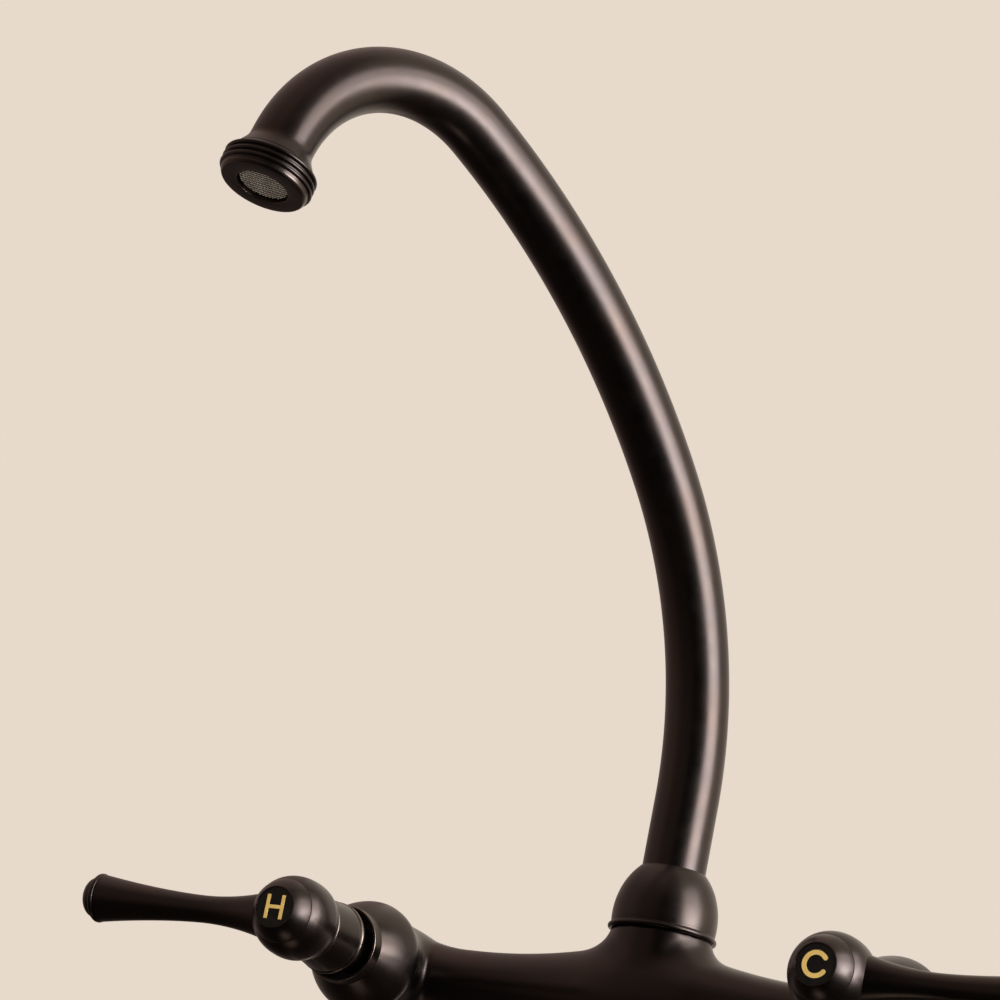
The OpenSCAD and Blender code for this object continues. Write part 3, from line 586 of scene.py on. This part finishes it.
def make_finishes():
    """All finishes by the record's material slots, made once."""
    finish = bpy.context.scene.faucet_finish
    if "satin bronze" in bpy.data.materials:
        return {m["slot"]: m for m in bpy.data.materials if "slot" in m}
    made = {
        "bronze": satin_bronze("satin bronze", finish, 0.08),
        "bronze_cast": satin_bronze("satin bronze on the casting", finish, 0.12),
        "bare_brass": turned_metal("bare brass", finish.brass, 0.25, 0.4),
        "steel": turned_metal("stainless steel", (0.56, 0.56, 0.55), 0.25, 0.38),
        # Wire colour: the bright tone is a painted highlight on the crests, grey(0.02) painted shade where
        # the wires dip
        "steel_mesh": woven("stainless wire", (0.90, 0.88, 0.84), grey(0.02)),
    }
    # Name, both tones, roughness, size and strength of the grain, gloss
    moulds = {
        "gold_letter": ("gilt", finish.gold, dulled(finish.gold, 0.85), 0.35, 0.15, 0.2, 0.5),
        # Bonnet nut made black as painted shade: it sits in shadow inside the valve dome
        "black_nut": ("black oxide", (0.010, 0.009, 0.009), (0.016, 0.014, 0.013), 0.42, 0.3, 0.2, 0.5),
        "black_index": ("black enamel", grey(0.006), (0.010, 0.009, 0.009), 0.45, 0.8, 0.06, 0.2),
        "black_rubber": ("black rubber", (0.018, 0.018, 0.019), grey(0.030), 0.6, 0.2, 0.3, 0.5),
        "white_plastic": ("white plastic", (0.70, 0.70, 0.66), (0.62, 0.61, 0.57), 0.4, 0.25, 0.12, 0.5),
        "black_plastic": ("black plastic", grey(0.014), grey(0.024), 0.45, 0.25, 0.15, 0.5),
        "ceramic": ("ceramic", (0.72, 0.69, 0.62), (0.66, 0.63, 0.56), 0.18, 0.4, 0.05, 0.5),
    }
    made.update({slot: moulded(*values) for slot, values in moulds.items()})
    for slot, material in made.items():
        material["slot"] = slot
    return made


# Operators


class FAUCET_OT_casting(Operator):
    """Bridge casting: two trumpet arms, a neck and two valve bodies blended into one skin"""

    bl_idname = "faucet.casting"
    bl_label = "Bridge casting"

    def execute(self, context):
        arm_r, crest_r, neck_r, neck_h, neck_k, valve_r, valve_k, step = sizes(
            context.scene.faucet_bridge,
            "arm_r crest_r neck_r neck_h neck_blend valve_r valve_blend skin_step",
        )
        inlet = INLET_X / MM
        waist_in, waist_out, crest_len = inlet - 31.6, inlet - 27.6, neck_r + 4
        curve_r, end_curve_r, steepness, crest_k, edge_k = 214.0, 55.0, 0.98, 2.0, 0.8
        neck_foot, boss_foot, boss_top = -4, 7, 33
        rear, shoulder, thread_foot, front = -18.0, 20.5, 7, 33.0
        wall_at, thinner = (-14, -4, 2, 8, 14, shoulder), np.array([0, 0, 0.3, 0.6, 0.5, 0])
        spigot_r, spigot_rear, spigot_front = 13.2, -30, -10
        chamber_r, chamber_floor, seat_r, inlet_r, inlet_end = 10.5, -8, 5.5, 8, -11
        way_r, riser_r, socket_r, socket_floor = 6, 9.35, 12.6, 9
        low, high = (-inlet - 20, -front - 2, -22.3), (inlet + 20, 32.1, front + 2.2)

        def arm_radius(x):
            """A round crest, a long hollow curve, a short waist and a short hollow curve."""
            def hollow(r, d):
                return arm_r + r - np.sqrt(r * r - np.clip(d, 0, 0.6 * r) ** 2)
            along = np.where(x < waist_out, hollow(curve_r, waist_in - x), hollow(end_curve_r, x - waist_out))
            edge = hollow(curve_r, waist_in - crest_len)
            return np.where(x < crest_len, crest_r - (crest_r - edge) * (x / crest_len) ** 2, along)

        def field(p):
            """Smooth union of the arms, turned about x, the neck, turned about z, and the valve
            bodies, turned about y, less their bores. Even in x."""
            x, y, z = np.abs(p[:, 0]), p[:, 1], p[:, 2]
            forward, off, from_neck = -y, np.hypot(x - inlet, z), np.hypot(x, y)
            arm = (np.hypot(y, z) - arm_radius(np.minimum(x, inlet))) * steepness
            arm = np.maximum(arm, x - inlet)
            neck = soft_max(from_neck - neck_r, z - neck_h, edge_k)
            neck = np.maximum(neck, neck_foot - z)
            sideways = x * x / np.maximum(x * x + y * y, TINY)
            body = soft_min(arm, neck, crest_k + (neck_k - crest_k) * sideways)
            wall = np.interp(forward, wall_at, valve_r - thinner)
            valve = soft_max(off - wall, span(forward, rear, shoulder), 2.4)
            thread = soft_max(off - (valve_r - 1.3), span(forward, thread_foot, front), edge_k)
            spigot = soft_max(off - spigot_r, span(forward, spigot_rear, spigot_front), 1.2)
            boss = soft_max(from_neck - (neck_r - 1.5), span(z, boss_foot, boss_top), edge_k)
            body = np.minimum.reduce([soft_min(body, valve, valve_k), thread, spigot, boss])
            bores = np.minimum.reduce([
                np.maximum(off - chamber_r, chamber_floor - forward), off - seat_r,
                np.maximum(off - inlet_r, forward - inlet_end),
                np.maximum(np.hypot(y, z) - way_r, x - inlet),
                np.maximum(from_neck - riser_r, -z), np.maximum(from_neck - socket_r, socket_floor - z),
            ])
            return np.maximum(body, -bores)

        points, faces = skin(field, low, high, step)
        new_piece("bridge_casting", on_bridge().put(points), faces, "bridge", ["bridge_body"], "bronze_cast")
        return {"FINISHED"}


def spout_line(spout):
    """Centre line of the spout in its own plane, from the foot of the tube to its end.

    The heading from straight up is h(s), constant on the straights and growing evenly on each
    bend. A step ds adds ds sinc(dh / 2) (sin h, cos h) at the step's middle heading, which is
    exact on a circle. Gives rows of forward, height, heading.
    """
    foot, straight, tight = 22.0, 4.4, 100.0
    # Length, turn and number of steps of each run
    runs = [(spout.riser_top / MM - foot, 0, 10)]
    for n in (1, 2, 3):
        r, turn = getattr(spout, f"bend_{n}_r") / MM, getattr(spout, f"bend_{n}_turn")
        runs.append((r * turn, turn, 44 if r > tight else 72))
    runs.append((straight, 0, END_STEPS))
    ds = np.concatenate([np.full(n, long / n) for long, _, n in runs])
    dh = np.concatenate([np.full(n, turn / n) for _, turn, n in runs])
    h = np.concatenate([[0], np.cumsum(dh)])
    chord = ds * np.sinc(dh / (2 * math.pi))
    half = (h[1:] + h[:-1]) / 2
    forward = np.concatenate([[0], np.cumsum(chord * np.sin(half))])
    height = foot + np.concatenate([[0], np.cumsum(chord * np.cos(half))])
    return forward, height, h


def on_outlet(spout):
    """Place at the end of the crook, local z pointing out of the spout."""
    forward, height, h = (values[-1 - END_STEPS] for values in spout_line(spout))
    base = on_spout(spout)
    x, y, z = base.axes
    return Place(base.put(np.array([forward, 0, height])), x * math.cos(h) - z * math.sin(h), y,
                 x * math.sin(h) + z * math.cos(h))


class FAUCET_OT_spout(Operator):
    """Gooseneck spout: one tube carried round three bends, and the domed nut that holds it"""

    bl_idname = "faucet.spout"
    bl_label = "Spout tube and nut"

    def execute(self, context):
        spout = context.scene.faucet_spout
        forward, height, h = spout_line(spout)
        r, wall, wide, rise = sizes(spout, "tube_r tube_wall dome_r dome_rise")
        centre = np.column_stack([forward, 0 * h, height])
        across = np.column_stack([np.cos(h), 0 * h, -np.sin(h)])
        rows = np.concatenate([np.arange(len(h)), np.arange(len(h))[::-1]])
        points = rings(centre[rows], across[rows], Y_AXIS, np.repeat([r, r - wall], len(h)))
        points = on_spout(spout).put(points)
        new_piece("gooseneck", points, grid_faces(len(rows), AROUND, True), "spout", ["spout_tube"], "bronze")

        foot, bead_z, bead_top, mid, end = 24.1, 25.1, 26.35, 30.0, 47.6
        thread_r, thread_end, seat_r, seat_z = 16.55, 33.2, 15.2, 37.33
        hole = r + 0.3
        edge = hole + 0.2
        top = math.degrees(math.acos(edge / wide))
        turned("spout_dome_nut", outline(
            (thread_r, foot, 0.1), (18.1, foot, 0.2), arc(wide - 0.25, bead_z, 1, 1, -80, 72, 12),
            (wide - 0.28, bead_top, 0.2), arc(0, mid, wide, rise, -6.5, top - 1.5, 48),
            (edge, mid + rise * math.sin(math.radians(top)) + 0.1, 0.35), (hole, end, 0.1),
            (hole, seat_z), (seat_r, seat_z), (seat_r, thread_end), (thread_r, thread_end)),
            on_bridge(), "bridge", ["spout_nut"])
        return {"FINISHED"}


class FAUCET_OT_outlet(Operator):
    """Outlet: flared collar, ribbed housing and a screen of woven wire.

    The collar's radius is the tube's, plus 0.504 log(1 + exp((z - 0.9) / 0.8)). Each rib is half
    an ellipse.
    """

    bl_idname = "faucet.outlet"
    bl_label = "Spout outlet"

    def execute(self, context):
        spout = context.scene.faucet_spout
        place = on_outlet(spout)
        tube, wall, rib_r, pitch, hole = sizes(spout, "tube_r tube_wall rib_r rib_pitch outlet_r")
        bore, tube = tube - wall, tube + 0.01
        back, end, lip_r, lip_z, thread_r, tube_end = -1.4, 12.5, 14.8, 6.2, 13, 4.43
        z = np.linspace(back, 6.1, 28)
        flare = np.column_stack([tube + 0.504 * np.log1p(np.exp((z - 0.9) / 0.8)), z])
        turned("outlet_collar", outline(
            (tube, back), flare, (lip_r, lip_z, 0.15), (thread_r, lip_z), (thread_r, end),
            (bore, end), (bore, tube_end), (tube, tube_end)), place, "spout", ["nozzle_collar"])

        count, first, brow, depth = spout.rib_count, 8.43, 3.3, 1.8
        face = first + (count - 1) * pitch + brow
        groove, lip_z, wall_r, recess = rib_r - 1, lip_z + PLAY, thread_r + 0.05, face - depth
        ribs = [arc(groove - 0.1, first + n * pitch, 1.1, 0.37 * pitch, -84, 84, 14) for n in range(count)]
        turned("outlet_housing", outline(
            (wall_r, lip_z), (lip_r, lip_z, 0.1), (15.15, lip_z + 0.3, 0.2),
            (groove - 0.1, first - 0.9, 0.3), *ribs, (groove - 0.05, face - 2.1, 0.3),
            (15.85, face - 1.2, 0.4), (15.4, face - 0.4, 0.3), (15.0, face, 0.12),
            (hole, face, 0.15), (hole, recess), (wall_r, recess)),
            place, "spout", ["aerator_housing"])
        self.screen(spout, place, hole - 0.75, face - 1.55)
        return {"FINISHED"}

    def screen(self, spout, place, reach, level):
        """Woven screen. Wire w of each set runs at the offset v = (w - (n-1)/2) pitch, from
        -sqrt(reach^2 - v^2) to +sqrt(reach^2 - v^2), at the height
        level + wire_r cos(pi (u / pitch + w)), and the other set takes the opposite sign. The
        wear values are that cosine where it is over 0, so where a wire comes to the front;
        the wire finish paints a highlight there and shade where the wire dips."""
        pitch, wire = sizes(spout, "mesh_pitch wire_r")
        count = 2 * int(reach / pitch) + 1
        offset = (np.arange(count) - (count - 1) / 2) * pitch
        shortest = 0.3
        half = np.sqrt(np.maximum(reach**2 - offset**2, shortest))
        steps, sides = 4 * count, 4
        share = np.concatenate([[-1], np.linspace(-1, 1, steps + 1), [1]])
        u = half[:, None] * share[None, :]
        wave = np.cos(math.pi * (u / pitch + np.arange(count)[:, None]))
        a = (np.arange(sides) + 0.5) * 2 * math.pi / sides
        round_r = np.full(len(share), wire)
        round_r[[0, -1]] = 0
        shape = (count, len(share), sides)
        along = np.broadcast_to(u[:, :, None], shape)
        beside = np.broadcast_to(offset[:, None, None] + round_r[None, :, None] * np.cos(a), shape)
        sets, crests = [], []
        for sign in (1, -1):
            z = level + sign * wire * wave[:, :, None] + round_r[None, :, None] * np.sin(a)
            flat = (along, beside, z) if sign > 0 else (-beside, along, z)
            sets.append(np.stack(flat, -1).reshape(-1, 3))
            # Share of the painted highlight: the cosine where a wire comes to the front
            crests.append(np.broadcast_to(np.clip(sign * wave, 0, 1)[:, :, None], shape).ravel())
        one = grid_faces(len(share), sides, False)
        wires = np.arange(2 * count)[:, None, None] * len(share) * sides
        faces = (one[None] + wires).reshape(-1, 4)
        new_piece("outlet_screen", place.put(np.vstack(sets)), faces, "spout", ["aerator_screen"],
                  "steel_mesh", wear=np.concatenate(crests))


class FAUCET_OT_valve_covers(Operator):
    """Valve domes: a bowed dome that runs into a short open sleeve on each valve.

    Behind its widest circle the dome is part of an ellipse. In front of it the radius is
    wide (1 - (z / reach)^power)^(1 / power), with the reach at which it meets the sleeve.
    """

    bl_idname = "faucet.valve_covers"
    bl_label = "Valve domes"

    def execute(self, context):
        wide, front, lip, end = sizes(context.scene.faucet_handles, "dome_r dome_front sleeve_r sleeve_front")
        mid, power, rear, foot = 27.8, 1.4, 20.53, wide - 2.6
        thread_r, thread_end, inside_r, stop = 16.05, 33.3, 15.4, 36.8
        depth = front - mid
        reach = depth / (1 - (lip / wide) ** power) ** (1 / power)
        z = np.linspace(0, depth * 0.98, 26)
        bow = np.column_stack([wide * (1 - (z / reach) ** power) ** (1 / power), mid + z])
        rear_reach = (mid - rear) / math.sqrt(1 - (foot / wide) ** 2)
        foot_turn = math.degrees(math.asin((mid - rear) / rear_reach))
        for name, side in SIDES.items():
            turned(f"{name}_dome", outline(
                (thread_r, rear, 0.1), (foot, rear, 0.25),
                arc(0, mid, wide, rear_reach, 2 - foot_turn, -2, 16), bow, (lip, front, 0.5),
                (lip, end, 0.4), (lip - 1, end, 0.4), (lip - 1, stop), (inside_r, stop),
                (inside_r, thread_end), (thread_r, thread_end)),
                on_valve(side), "bridge", [f"{name}_valve_dome"])
        return {"FINISHED"}


class FAUCET_OT_handles(Operator):
    """Handles: skirt, ball hub and index cap, turned about the valve, and a lever about its own axis.

    The ball is round behind its middle. In front of it the radius is ball_r sqrt(1 - cut t^2.7),
    with t from 0 in the middle to 1 at the cap. The cap is a cone bowed out by 4 t (1 - t) times
    its swell. The lever's radius is thin + 2.2 (d / 20)^2 at the distance d before its waist, and
    thin + (end_r - thin) t^1.7 past it, with t from 0 to 1.
    """

    bl_idname = "faucet.handles"
    bl_label = "Lever handles"

    def execute(self, context):
        face, ball_r, ball_back, cap_r, cap_h, index_r, skirt_r, waist, thin, long, end_r = sizes(
            context.scene.faucet_handles,
            "face ball_r ball_back cap_r cap_h index_r skirt_r lever_waist lever_r lever_len lever_end_r",
        )
        ball_z, cap_z, rear = face - ball_back, face - cap_h, face - 45.3
        cut = 1 - (cap_r / ball_r) ** 2
        t = np.linspace(0.06, 0.985, 22)
        front = np.column_stack([ball_r * np.sqrt(1 - cut * t**2.7), ball_z + (cap_z - ball_z) * t])
        boss_r, boss_z, seat_r, throat_r, throat_z = 7.5, 60.7, 12.1, 11.0, 63.7
        boss_turn, seat_turn = (-math.degrees(math.acos(r / ball_r)) for r in (boss_r, seat_r))
        seat = ball_z + ball_r * math.sin(math.radians(seat_turn))
        hollow_r, hollow_z, screw_r, stem_r, stem_z = 9.05, 86.1, 2.3, 4.03, 77.9
        rim, swell, edge, index_z = index_r + 0.35, 0.4, cap_z + 0.3, face - 1.1
        plug_r, ring_r, plug_z = 7.2, 9, cap_z - 3.6
        t = np.linspace(0.04, 0.97, 16)
        run, rise = cap_r - rim, face - edge
        bow = 4 * t * (1 - t) * swell / math.hypot(run, rise)
        cone = np.column_stack([cap_r - run * t + bow * rise, edge + rise * t + bow * run])
        root, tip, button_r = 12, long + PLAY, end_r - 1.1
        s = np.linspace(root, long, 60)
        flare = np.where(s < waist, thin + 2.2 * ((waist - s) / 20) ** 2,
                         thin + (end_r - thin) * (np.maximum(s - waist, 0) / (long - waist)) ** 1.7)
        # Name, CAD node, axis and profile
        parts = (
            ("skirt", "handle_skirt", on_valve, outline(
                (throat_r, rear, 0.15), (skirt_r, rear, 0.35), (skirt_r, rear + 1.1, 0.3),
                (skirt_r - 0.55, rear + 1.6, 0.3), (skirt_r - 0.3, rear + 3.0, 0.8),
                (12.05, rear + 9.9, 3), (11.3, seat - 3.3, 1), (11.3, seat - 1.9, 0.6),
                (12.35, seat - 1.35, 0.25), (12.5, seat - 0.85, 0.3), (12.4, seat - 0.3, 0.2),
                (seat_r, seat, 0.05), arc(0, ball_z, ball_r + PLAY, ball_r + PLAY, seat_turn, boss_turn, 8),
                (boss_r + 0.05, throat_z), (throat_r, throat_z))),
            ("ball", "handle_hub", on_valve, outline(
                (stem_r, boss_z), (boss_r, boss_z, 0.1), arc(0, ball_z, ball_r, ball_r, boss_turn, 0, 36),
                front, (cap_r, cap_z, 0.3), (hollow_r, cap_z), (hollow_r, hollow_z),
                (screw_r, hollow_z), (screw_r, stem_z), (stem_r, stem_z))),
            ("cap", "index_cap", on_valve, outline(
                (0, cap_z), (plug_r, cap_z), (plug_r, plug_z), (ring_r, plug_z),
                (ring_r, cap_z + PLAY), (cap_r - 0.25, cap_z + PLAY, 0.1), (cap_r, edge, 0.22), cone,
                (rim, face, 0.1), (index_r + PLAY, face, 0.06), (index_r + PLAY, index_z),
                (0, index_z))),
            ("lever_bar", "lever", on_lever, outline(
                (0, root), np.column_stack([flare, s]), (end_r, long, 0.12), (0, long))),
            ("lever_button", "lever_tip", on_lever, outline(
                (0, tip), (end_r - 0.9, tip, 0.1), arc(end_r - 0.6, tip + 1.4, 1, 1, -76, 76, 12),
                arc(0, tip + 3, button_r, 4.5, 0, 90, 22))),
        )
        for name, side in SIDES.items():
            for label, node, axis, rows in parts:
                turned(f"{name}_{label}", rows, axis(side), f"{name}_handle", [f"{name}_{node}"])
        return {"FINISHED"}


class FAUCET_OT_wall_unions(Operator):
    """Wall connections: bell flange, threaded tailpiece and hexagonal union nut on each side"""

    bl_idname = "faucet.wall_unions"
    bl_label = "Wall connections"

    def execute(self, context):
        r, h, thread_r, thread_len, pitch, flats = sizes(
            context.scene.faucet_wall, "flange_r flange_h thread_r thread_len thread_pitch flats")
        wall = BRIDGE_Y / MM
        face, skirt = wall + h, thread_r + 2.4
        tail_end, thread_end, depth, fade, flank = wall - thread_len, wall - 0.6, 0.9, 1.2, 2.3
        way_r, shank, collar, collar_z, seat_z, nut_r = 8, thread_r - 0.4, 12.3, -34.5, -31.5, 15.9
        nut_rear, nut_front, hole, socket, hexagon_end, corner_r = -38.5, -20.5, 10.85, 13.25, -23.4, 18.38

        def threaded(radius, z, a):
            """Helical pipe thread: the radius falls by a V of the thread's depth with
            frac(z / pitch - a / 2 pi), fading out at both ends."""
            phase = (z / pitch - a / (2 * math.pi)) % 1
            fading = depth * np.clip(np.minimum((z - tail_end) / fade, (thread_end - z) / fade), 0, 1)
            cut = fading * np.clip(flank / 2 - flank * np.abs(phase - 0.5), 0, 1)
            outside = (z > tail_end) & (z < thread_end) & (radius > shank - 0.05)
            return np.where(outside, radius - cut, radius)

        def hexagon(radius, z, a):
            """Radius limited by six flats: flats / (2 cos(a mod 60 - 30)) on the nut's hexagon."""
            limit = flats / 2 / np.cos((a % (math.pi / 3)) - math.pi / 6)
            return np.where(z < hexagon_end, np.minimum(radius, limit), radius)

        turns = np.linspace(tail_end + 0.3, wall - 0.3, 110)
        bell = arc(r - 0.6, face, r - 0.6 - skirt, h - 2.4, 268, 182, 22)
        inside = arc(r - 2.2, face - 1.6, r - 2.2 - (thread_r + 1), h - 4, 182, 268, 22)
        # Name, CAD node, finish, shape and profile
        parts = (
            ("flange", "wall_flange", "bronze", None, outline(
                (r - 1.6, wall), (r, wall, 0.1), (r, wall + 1.6, 0.5), (r - 0.5, wall + 2.3, 0.3), bell,
                (skirt, face, 0.4), (10.9, face, 0.2), (10.9, face - 1.6), inside,
                (r - 1.6, wall + 1.6))),
            ("tail", "tailpiece", "bare_brass", threaded, outline(
                (way_r, tail_end, 0.3), (thread_r - 0.9, tail_end, 0.3),
                np.column_stack([0 * turns + thread_r, turns]), (shank, wall),
                (shank, collar_z), (collar, collar_z, 0.2), (collar, seat_z, 0.2), (way_r, seat_z, 0.2))),
            ("nut", "union_nut", "bronze", hexagon, outline(
                (hole, nut_rear, 0.2), (nut_r, nut_rear), (corner_r, -37.1), (corner_r, -24.9),
                (nut_r, -23.5), (nut_r, nut_front, 0.4), (socket, nut_front, 0.2),
                (socket, collar_z), (hole, collar_z))),
        )
        for name, side in SIDES.items():
            for label, node, slot, shape, rows in parts:
                turned(f"{name}_{label}", rows, on_valve(side), "bridge", [f"{name}_{node}"], slot,
                       shape=shape)
        return {"FINISHED"}


class FAUCET_OT_finishes(Operator):
    """Gives every CAD piece that stays in view the finish of its material slot"""

    bl_idname = "faucet.finishes"
    bl_label = "Finishes of the inner pieces"

    def execute(self, context):
        finishes = make_finishes()
        slots = {part["node"]: part["material_slot"] for part in frame["record"]["subparts"]}
        for node, piece in frame["nodes"].items():
            finish = finishes[slots[node]]
            if not piece.material_slots:
                piece.data.materials.append(finish)
            for slot in piece.material_slots:
                slot.material = finish
        return {"FINISHED"}


class FAUCET_OT_stage(Operator):
    """Pale floor and backdrop, soft lamps, dark cards that only reflections see, and the camera"""

    bl_idname = "faucet.stage"
    bl_label = "Floor, lamps and camera"

    def execute(self, context):
        stage = context.scene.faucet_stage
        self.floor(stage)
        self.world(context, stage)
        self.lamps()
        self.cards()
        self.camera(context, stage)
        context.scene.view_settings.view_transform = "Standard"
        return {"FINISHED"}

    def floor(self, stage):
        """A wide disc: P(r, a) = (r cos a, r sin a, floor). Far out it fades into the backdrop."""
        around, r = 64, np.array([[0.001], [40.0]])
        a = np.arange(around) * 2 * math.pi / around
        points = np.stack([r * np.cos(a), r * np.sin(a), 0 * r * a - stage.floor_z], -1)
        f, tone = Finish("pale floor"), stage.backdrop
        far = f.add("VectorMath", Vector=f.place.outputs[0])
        far.operation = "LENGTH"
        away = f.spread(far.outputs["Value"], 1500, 6000)
        near = f.mix(f.noise(400, 3), tone, dulled(tone, 0.98))
        f.drive(Base_Color=f.mix(away, near, grey(0)), Roughness=0.9, Emission_Color=tone,
                Emission_Strength=away, Specular_IOR_Level=0.0)
        floor = add_mesh("floor", points, grid_faces(2, around, False)[:, ::-1], f.material)

    def world(self, context, stage):
        """Pale backdrop for the camera, gloss and glass, and a dimmer even fill for the rest."""
        world = bpy.data.worlds.new("studio")
        context.scene.world = world
        tree = Tree(world)
        path = tree.add("LightPath")
        seen = path.outputs["Is Camera Ray"]
        for other in ("Is Glossy Ray", "Is Transmission Ray"):
            seen = tree.math("MAXIMUM", seen, path.outputs[other])
        shade = tree.nodes["Background"]
        tree.feed(shade.inputs["Strength"], tree.spread(seen, 0, 1, 0.6, 1.0))
        tree.feed(shade.inputs["Color"], stage.backdrop)

    def lamps(self):
        """Soft boxes: name, direction from the front towards +X, elevation, distance, width,
        height, watts and colour. Reflections don't show the fill box."""
        cool, warm = (0.98, 0.97, 1.0), (1.0, 0.97, 0.94)
        boxes = (
            ("key box", 84, 5, 1.6, 1.15, 0.95, 26.0, cool),
            ("core box", 84, 1, 1.5, 0.5, 0.4, 4.5, cool),
            ("upper box", 84, 33, 1.6, 1.1, 0.7, 8.0, cool),
            ("fill box", -40, 50, 2.2, 1.2, 1.2, 6.0, warm),
        )
        for name, side, up, far, wide, high, watts, tone in boxes:
            lamp = bpy.data.lights.new(name, "AREA")
            lamp.shape = "RECTANGLE"
            lamp.size, lamp.size_y, lamp.energy, lamp.color = wide, high, watts, tone
            box = add_object(name, lamp)
            box.matrix_world = facing(side, up, far)
            box.visible_camera = False
            box.visible_glossy = name != "fill box"

    def cards(self):
        """Grey card round the front and the left and a dark one low on the right, seen by
        reflections only. The first one's tone falls from the left to black beside the key box
        and from the middle to the bottom, and is lifted at the top.
        """
        a, e = np.meshgrid(np.linspace(-150, 62, 54), np.linspace(-80, 85, 34), indexing="ij")
        tone = np.interp(a, (-150, -55, -35, 0, 14, 62), (0.36, 0.34, 0.16, 0.13, 0.0, 0.0))
        tone = tone * np.interp(e, (-80, -30, 0), (0.04, 0.14, 1.0))
        tone = tone + np.interp(e, (30, 60, 85), (0.0, 0.3, 0.34))
        self.card("grey_card", a, e, tone)
        a, e = np.meshgrid(np.linspace(62, 209, 38), np.linspace(-80, -18, 14), indexing="ij")
        self.card("low_card", a, e, np.interp(e, (-80, -30, -18), (0.02, 0.05, 0.2)))

    def card(self, name, a, e, tone):
        """P(a, e) is a point of a ball of radius 0.95 m round the faucet, in the direction a from
        the front towards +X and e over the level."""
        far, centre = 0.95, (0, -0.12, 0.1)
        rows, columns = a.shape
        faces = grid_faces(rows, columns, False).reshape(rows - 1, columns, 4)[:, :-1].reshape(-1, 4)
        f = Finish(name)
        f.drive(Base_Color=grey(0), Roughness=1.0, Specular_IOR_Level=0.0,
                Emission_Color=(1.0, 0.74, 0.66), Emission_Strength=f.attribute("tone"))
        card = add_mesh(name, direction(a, e) * far + centre, faces, f.material, tone=tone)
        card.visible_camera = card.visible_diffuse = card.visible_shadow = card.visible_transmission = False

    def camera(self, context, stage):
        """A long lens from the front right and a little below."""
        data = bpy.data.cameras.new("camera")
        data.lens, data.sensor_width, data.clip_start = stage.lens, 36.0, 0.05
        camera = add_object("camera", data)
        camera.matrix_world = Matrix((
            (0.89394589, -0.05246968, 0.44509289, 0.65976504),
            (0.4060275, -0.32564118, -0.85387323, -1.53111614),
            (0.18974303, 0.94403642, -0.26980146, -0.27527685),
            (0, 0, 0, 1),
        ))
        context.scene.camera = camera


def direction(side, up):
    """Unit vectors, side degrees from the front towards +X and up degrees over the level."""
    side, up = np.radians(side), np.radians(up)
    return np.stack([np.sin(side) * np.cos(up), -np.cos(side) * np.cos(up), np.sin(up)], -1)


def facing(side, up, far):
    """Place of a lamp that looks at the faucet from far metres away in a direction."""
    back, right = direction(side, up), direction(side + 90, 0)
    made = Matrix(np.column_stack([right, np.cross(back, right), back]).tolist()).to_4x4()
    made.translation = (np.array([0, -0.1, 0.1]) + far * back).tolist()
    return made


OPERATORS = (
    FAUCET_OT_casting, FAUCET_OT_spout, FAUCET_OT_outlet, FAUCET_OT_valve_covers, FAUCET_OT_handles,
    FAUCET_OT_wall_unions, FAUCET_OT_finishes, FAUCET_OT_stage,
)
GROUPS = {
    "faucet_bridge": FaucetBridge, "faucet_spout": FaucetSpout, "faucet_handles": FaucetHandles,
    "faucet_wall": FaucetWall, "faucet_finish": FaucetFinish, "faucet_stage": FaucetStage,
}


class FAUCET_PT_panel(Panel):
    """Buttons for every step, over the sizes they read"""

    bl_idname = "FAUCET_PT_panel"
    bl_label = "Bridge faucet"
    bl_space_type = "VIEW_3D"
    bl_region_type = "UI"
    bl_category = "Faucet"

    def draw(self, context):
        for operator in OPERATORS:
            self.layout.operator(operator.bl_idname)
        for group in GROUPS:
            box = self.layout.box()
            values = getattr(context.scene, group)
            for name in values.__annotations__:
                box.prop(values, name)


CLASSES = (*GROUPS.values(), *OPERATORS, FAUCET_PT_panel)


def register():
    for kind in CLASSES:
        bpy.utils.register_class(kind)
    for name, group in GROUPS.items():
        setattr(bpy.types.Scene, name, PointerProperty(type=group))


def unregister():
    for name in GROUPS:
        delattr(bpy.types.Scene, name)
    for kind in reversed(CLASSES):
        bpy.utils.unregister_class(kind)


def main():
    register()
    for operator in OPERATORS:
        family, name = operator.bl_idname.split(".")
        getattr(getattr(bpy.ops, family), name)()


if __name__ == "__main__":
    main()
